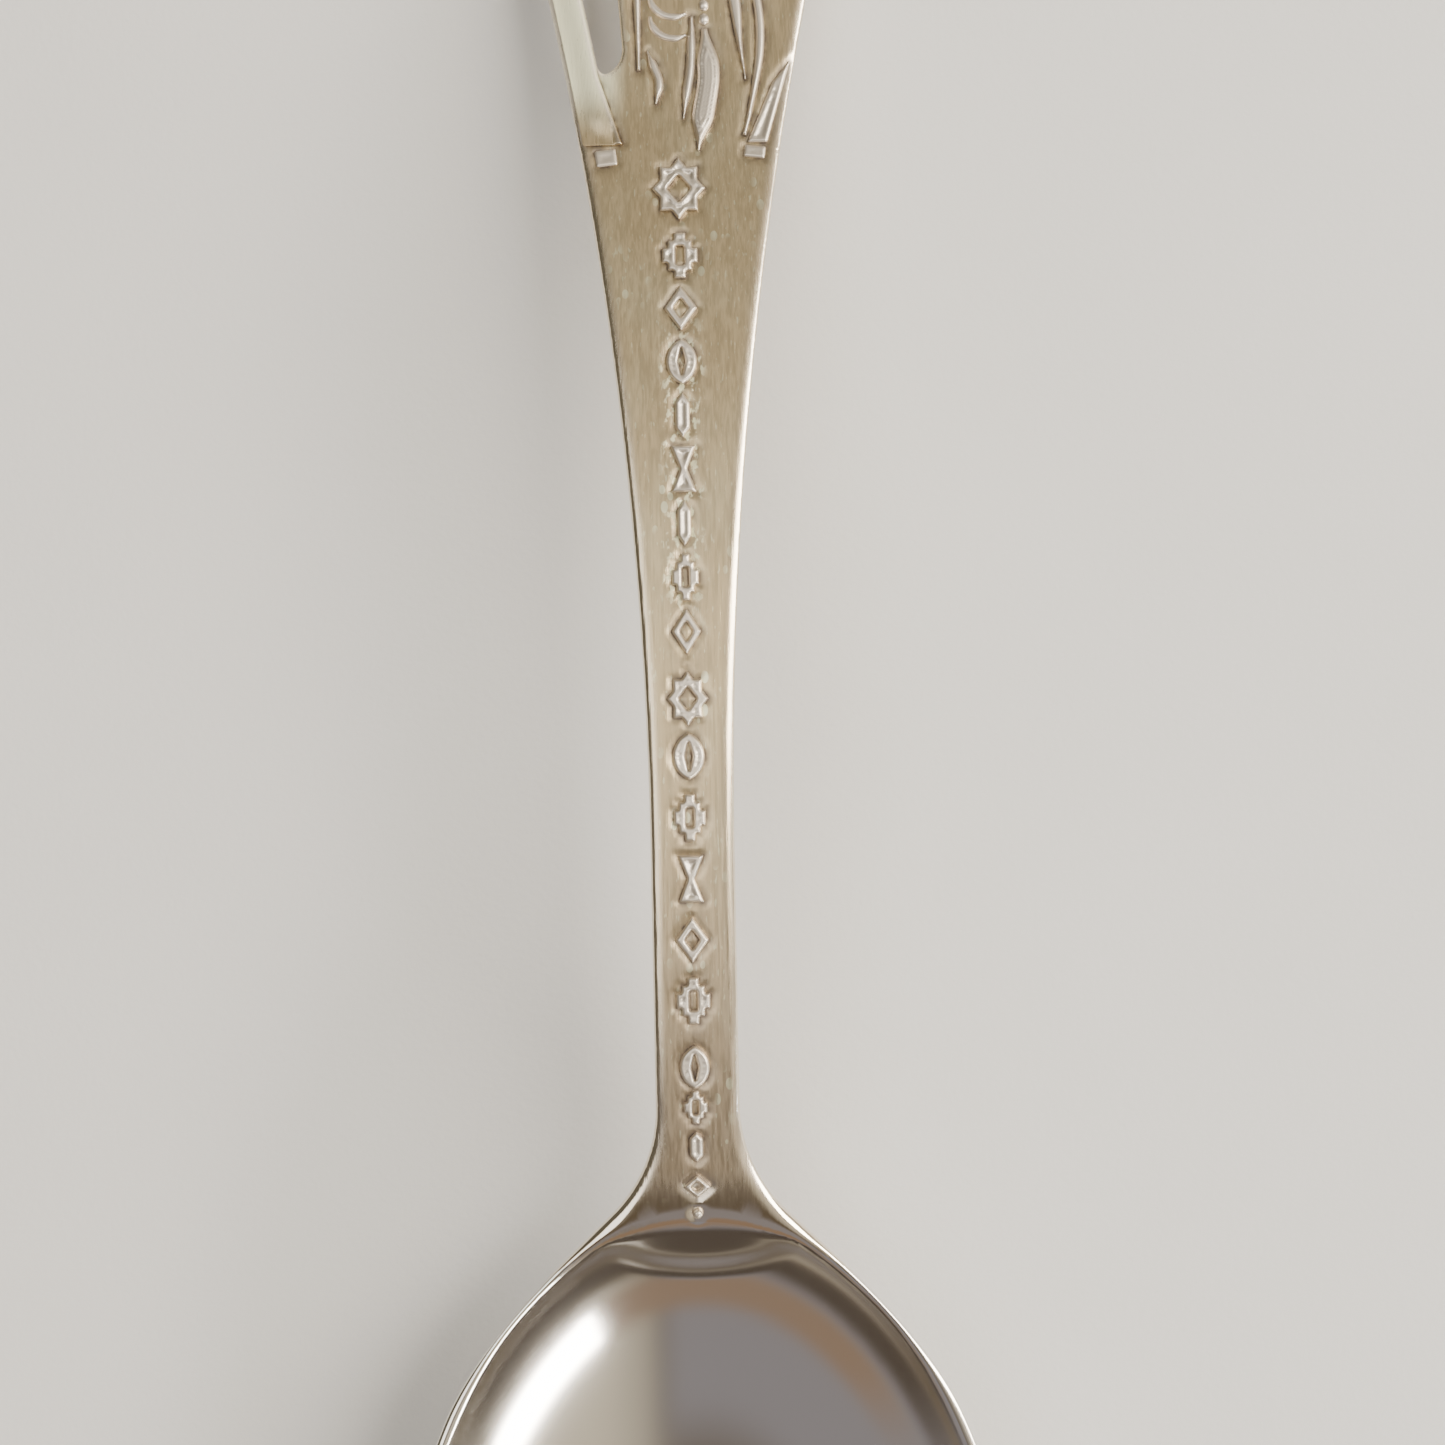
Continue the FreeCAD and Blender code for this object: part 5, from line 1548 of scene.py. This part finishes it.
def floor_material():
    """Pale matt card with a faint tooth."""
    material = bpy.data.materials.new("pale_card")
    material.use_nodes = True
    tree = material.node_tree
    shader = tree.nodes["Principled BSDF"]
    place = tree.nodes.new("ShaderNodeTexCoord").outputs["Object"]
    tone = noise(tree, place, (60, 60, 60), 4.0)
    colour_out = blend_colour(tree, tone, (0.74, 0.735, 0.72, 1), (0.80, 0.795, 0.78, 1))
    tree.links.new(colour_out, shader.inputs["Base Color"])
    shader.inputs["Roughness"].default_value = 0.75
    bump(tree, shader, noise(tree, place, (2400, 2400, 2400), 2.0), 0.15, 0.0001)
    return material


class SPOON_OT_stage(bpy.types.Operator):
    """Lay the floor and set the light and the camera"""

    bl_idname = "spoon.stage"
    bl_label = "Stage"

    def execute(self, context):
        scene = context.scene
        far, level = FLOOR_HALF_WIDTH, FLOOR_LEVEL
        corners = [(-far, -far, level), (far, -far, level), (far, far, level), (-far, far, level)]
        floor = new_piece("floor", corners, [[0, 1, 2, 3]], floor_material())

        world = bpy.data.worlds.new("studio")
        world.use_nodes = True
        tree = world.node_tree
        background = tree.nodes["Background"]
        direction = tree.nodes.new("ShaderNodeTexCoord").outputs["Generated"]
        parts = tree.nodes.new("ShaderNodeSeparateXYZ")
        tree.links.new(direction, parts.inputs[0])
        x, y, z = [parts.outputs[axis] for axis in "XYZ"]
        front = math_node(tree, "MULTIPLY", between(tree, y, -0.24, -0.46), between(tree, x, 0.24, 0.06))
        slate = math_node(tree, "MULTIPLY", front, between(tree, z, 0.90, 0.72))
        band = math_node(tree, "MULTIPLY", between(tree, z, 0.50, 0.40), between(tree, z, 0.20, 0.30))
        band = math_node(tree, "MULTIPLY", band, between(tree, y, -0.5, -0.75))
        low_front = math_node(tree, "MULTIPLY", between(tree, z, 0.26, 0.14), between(tree, y, -0.3, -0.7))
        near_floor, overhead = (0.20, 0.17, 0.13, 1), (0.37, 0.335, 0.285, 1)
        shade = blend_colour(tree, between(tree, z, 0.1, 0.85), near_floor, overhead)
        behind = between(tree, y, 0.10, 0.50)
        right = between(tree, x, 0.06, 0.45)
        left = between(tree, x, -0.12, -0.60)
        for share, tint in (
            (behind, (0.60, 0.555, 0.475, 1)),
            (right, (0.86, 0.765, 0.60, 1)),
            (left, (0.17, 0.155, 0.12, 1)),
            (front, (0.16, 0.125, 0.083, 1)),
            (slate, (0.33, 0.31, 0.325, 1)),
            (band, (0.36, 0.255, 0.18, 1)),
            (low_front, (0.10, 0.078, 0.06, 1)),
        ):
            shade = blend_colour(tree, share, shade, tint)
        tree.links.new(shade, background.inputs["Color"])
        background.inputs["Strength"].default_value = STUDIO_STRENGTH
        scene.world = world

        for light in LIGHTS:
            area_light(*light)

        data = bpy.data.cameras.new("camera")
        data.lens, data.sensor_width = CAMERA_LENS, CAMERA_SENSOR
        camera = bpy.data.objects.new("camera", data)
        camera.location = CAMERA_PLACE
        camera.rotation_euler = (0, 0, math.radians(CAMERA_ROLL))
        scene.collection.objects.link(camera)
        scene.camera = camera
        return {"FINISHED"}


# ---------------------------------------------------------------- panel and registration

OPERATORS = (
    SPOON_OT_blank,
    SPOON_OT_motifs,
    SPOON_OT_poles,
    SPOON_OT_hangings,
    SPOON_OT_shield,
    SPOON_OT_repeats,
    SPOON_OT_stage,
)
GROUPS = {
    "spoon_side": SpoonSideSizes,
    "spoon_plan": SpoonPlanSizes,
    "spoon_relief": SpoonReliefSizes,
    "spoon_finish": SpoonFinish,
}


class SPOON_PT_panel(bpy.types.Panel):
    """Sizes, finishes and build steps of the spoon"""

    bl_idname = "SPOON_PT_panel"
    bl_label = "Souvenir spoon"
    bl_space_type = "VIEW_3D"
    bl_region_type = "UI"
    bl_category = "Spoon"

    def draw(self, context):
        for key, group in GROUPS.items():
            box = self.layout.box()
            for name in group.__annotations__:
                box.prop(getattr(context.scene, key), name)
        for operator in OPERATORS:
            self.layout.operator(operator.bl_idname)


def register():
    for made in (*GROUPS.values(), *OPERATORS, SPOON_PT_panel):
        bpy.utils.register_class(made)
    for key, group in GROUPS.items():
        setattr(bpy.types.Scene, key, bpy.props.PointerProperty(type=group))


def unregister():
    for key in GROUPS:
        delattr(bpy.types.Scene, key)
    for made in (SPOON_PT_panel, *reversed(OPERATORS), *GROUPS.values()):
        bpy.utils.unregister_class(made)


def main():
    register()
    bpy.ops.spoon.blank()
    bpy.ops.spoon.motifs()
    bpy.ops.spoon.poles()
    bpy.ops.spoon.hangings()
    bpy.ops.spoon.shield()
    bpy.ops.spoon.repeats()
    bpy.ops.spoon.stage()


if __name__ == "__main__":
    main()
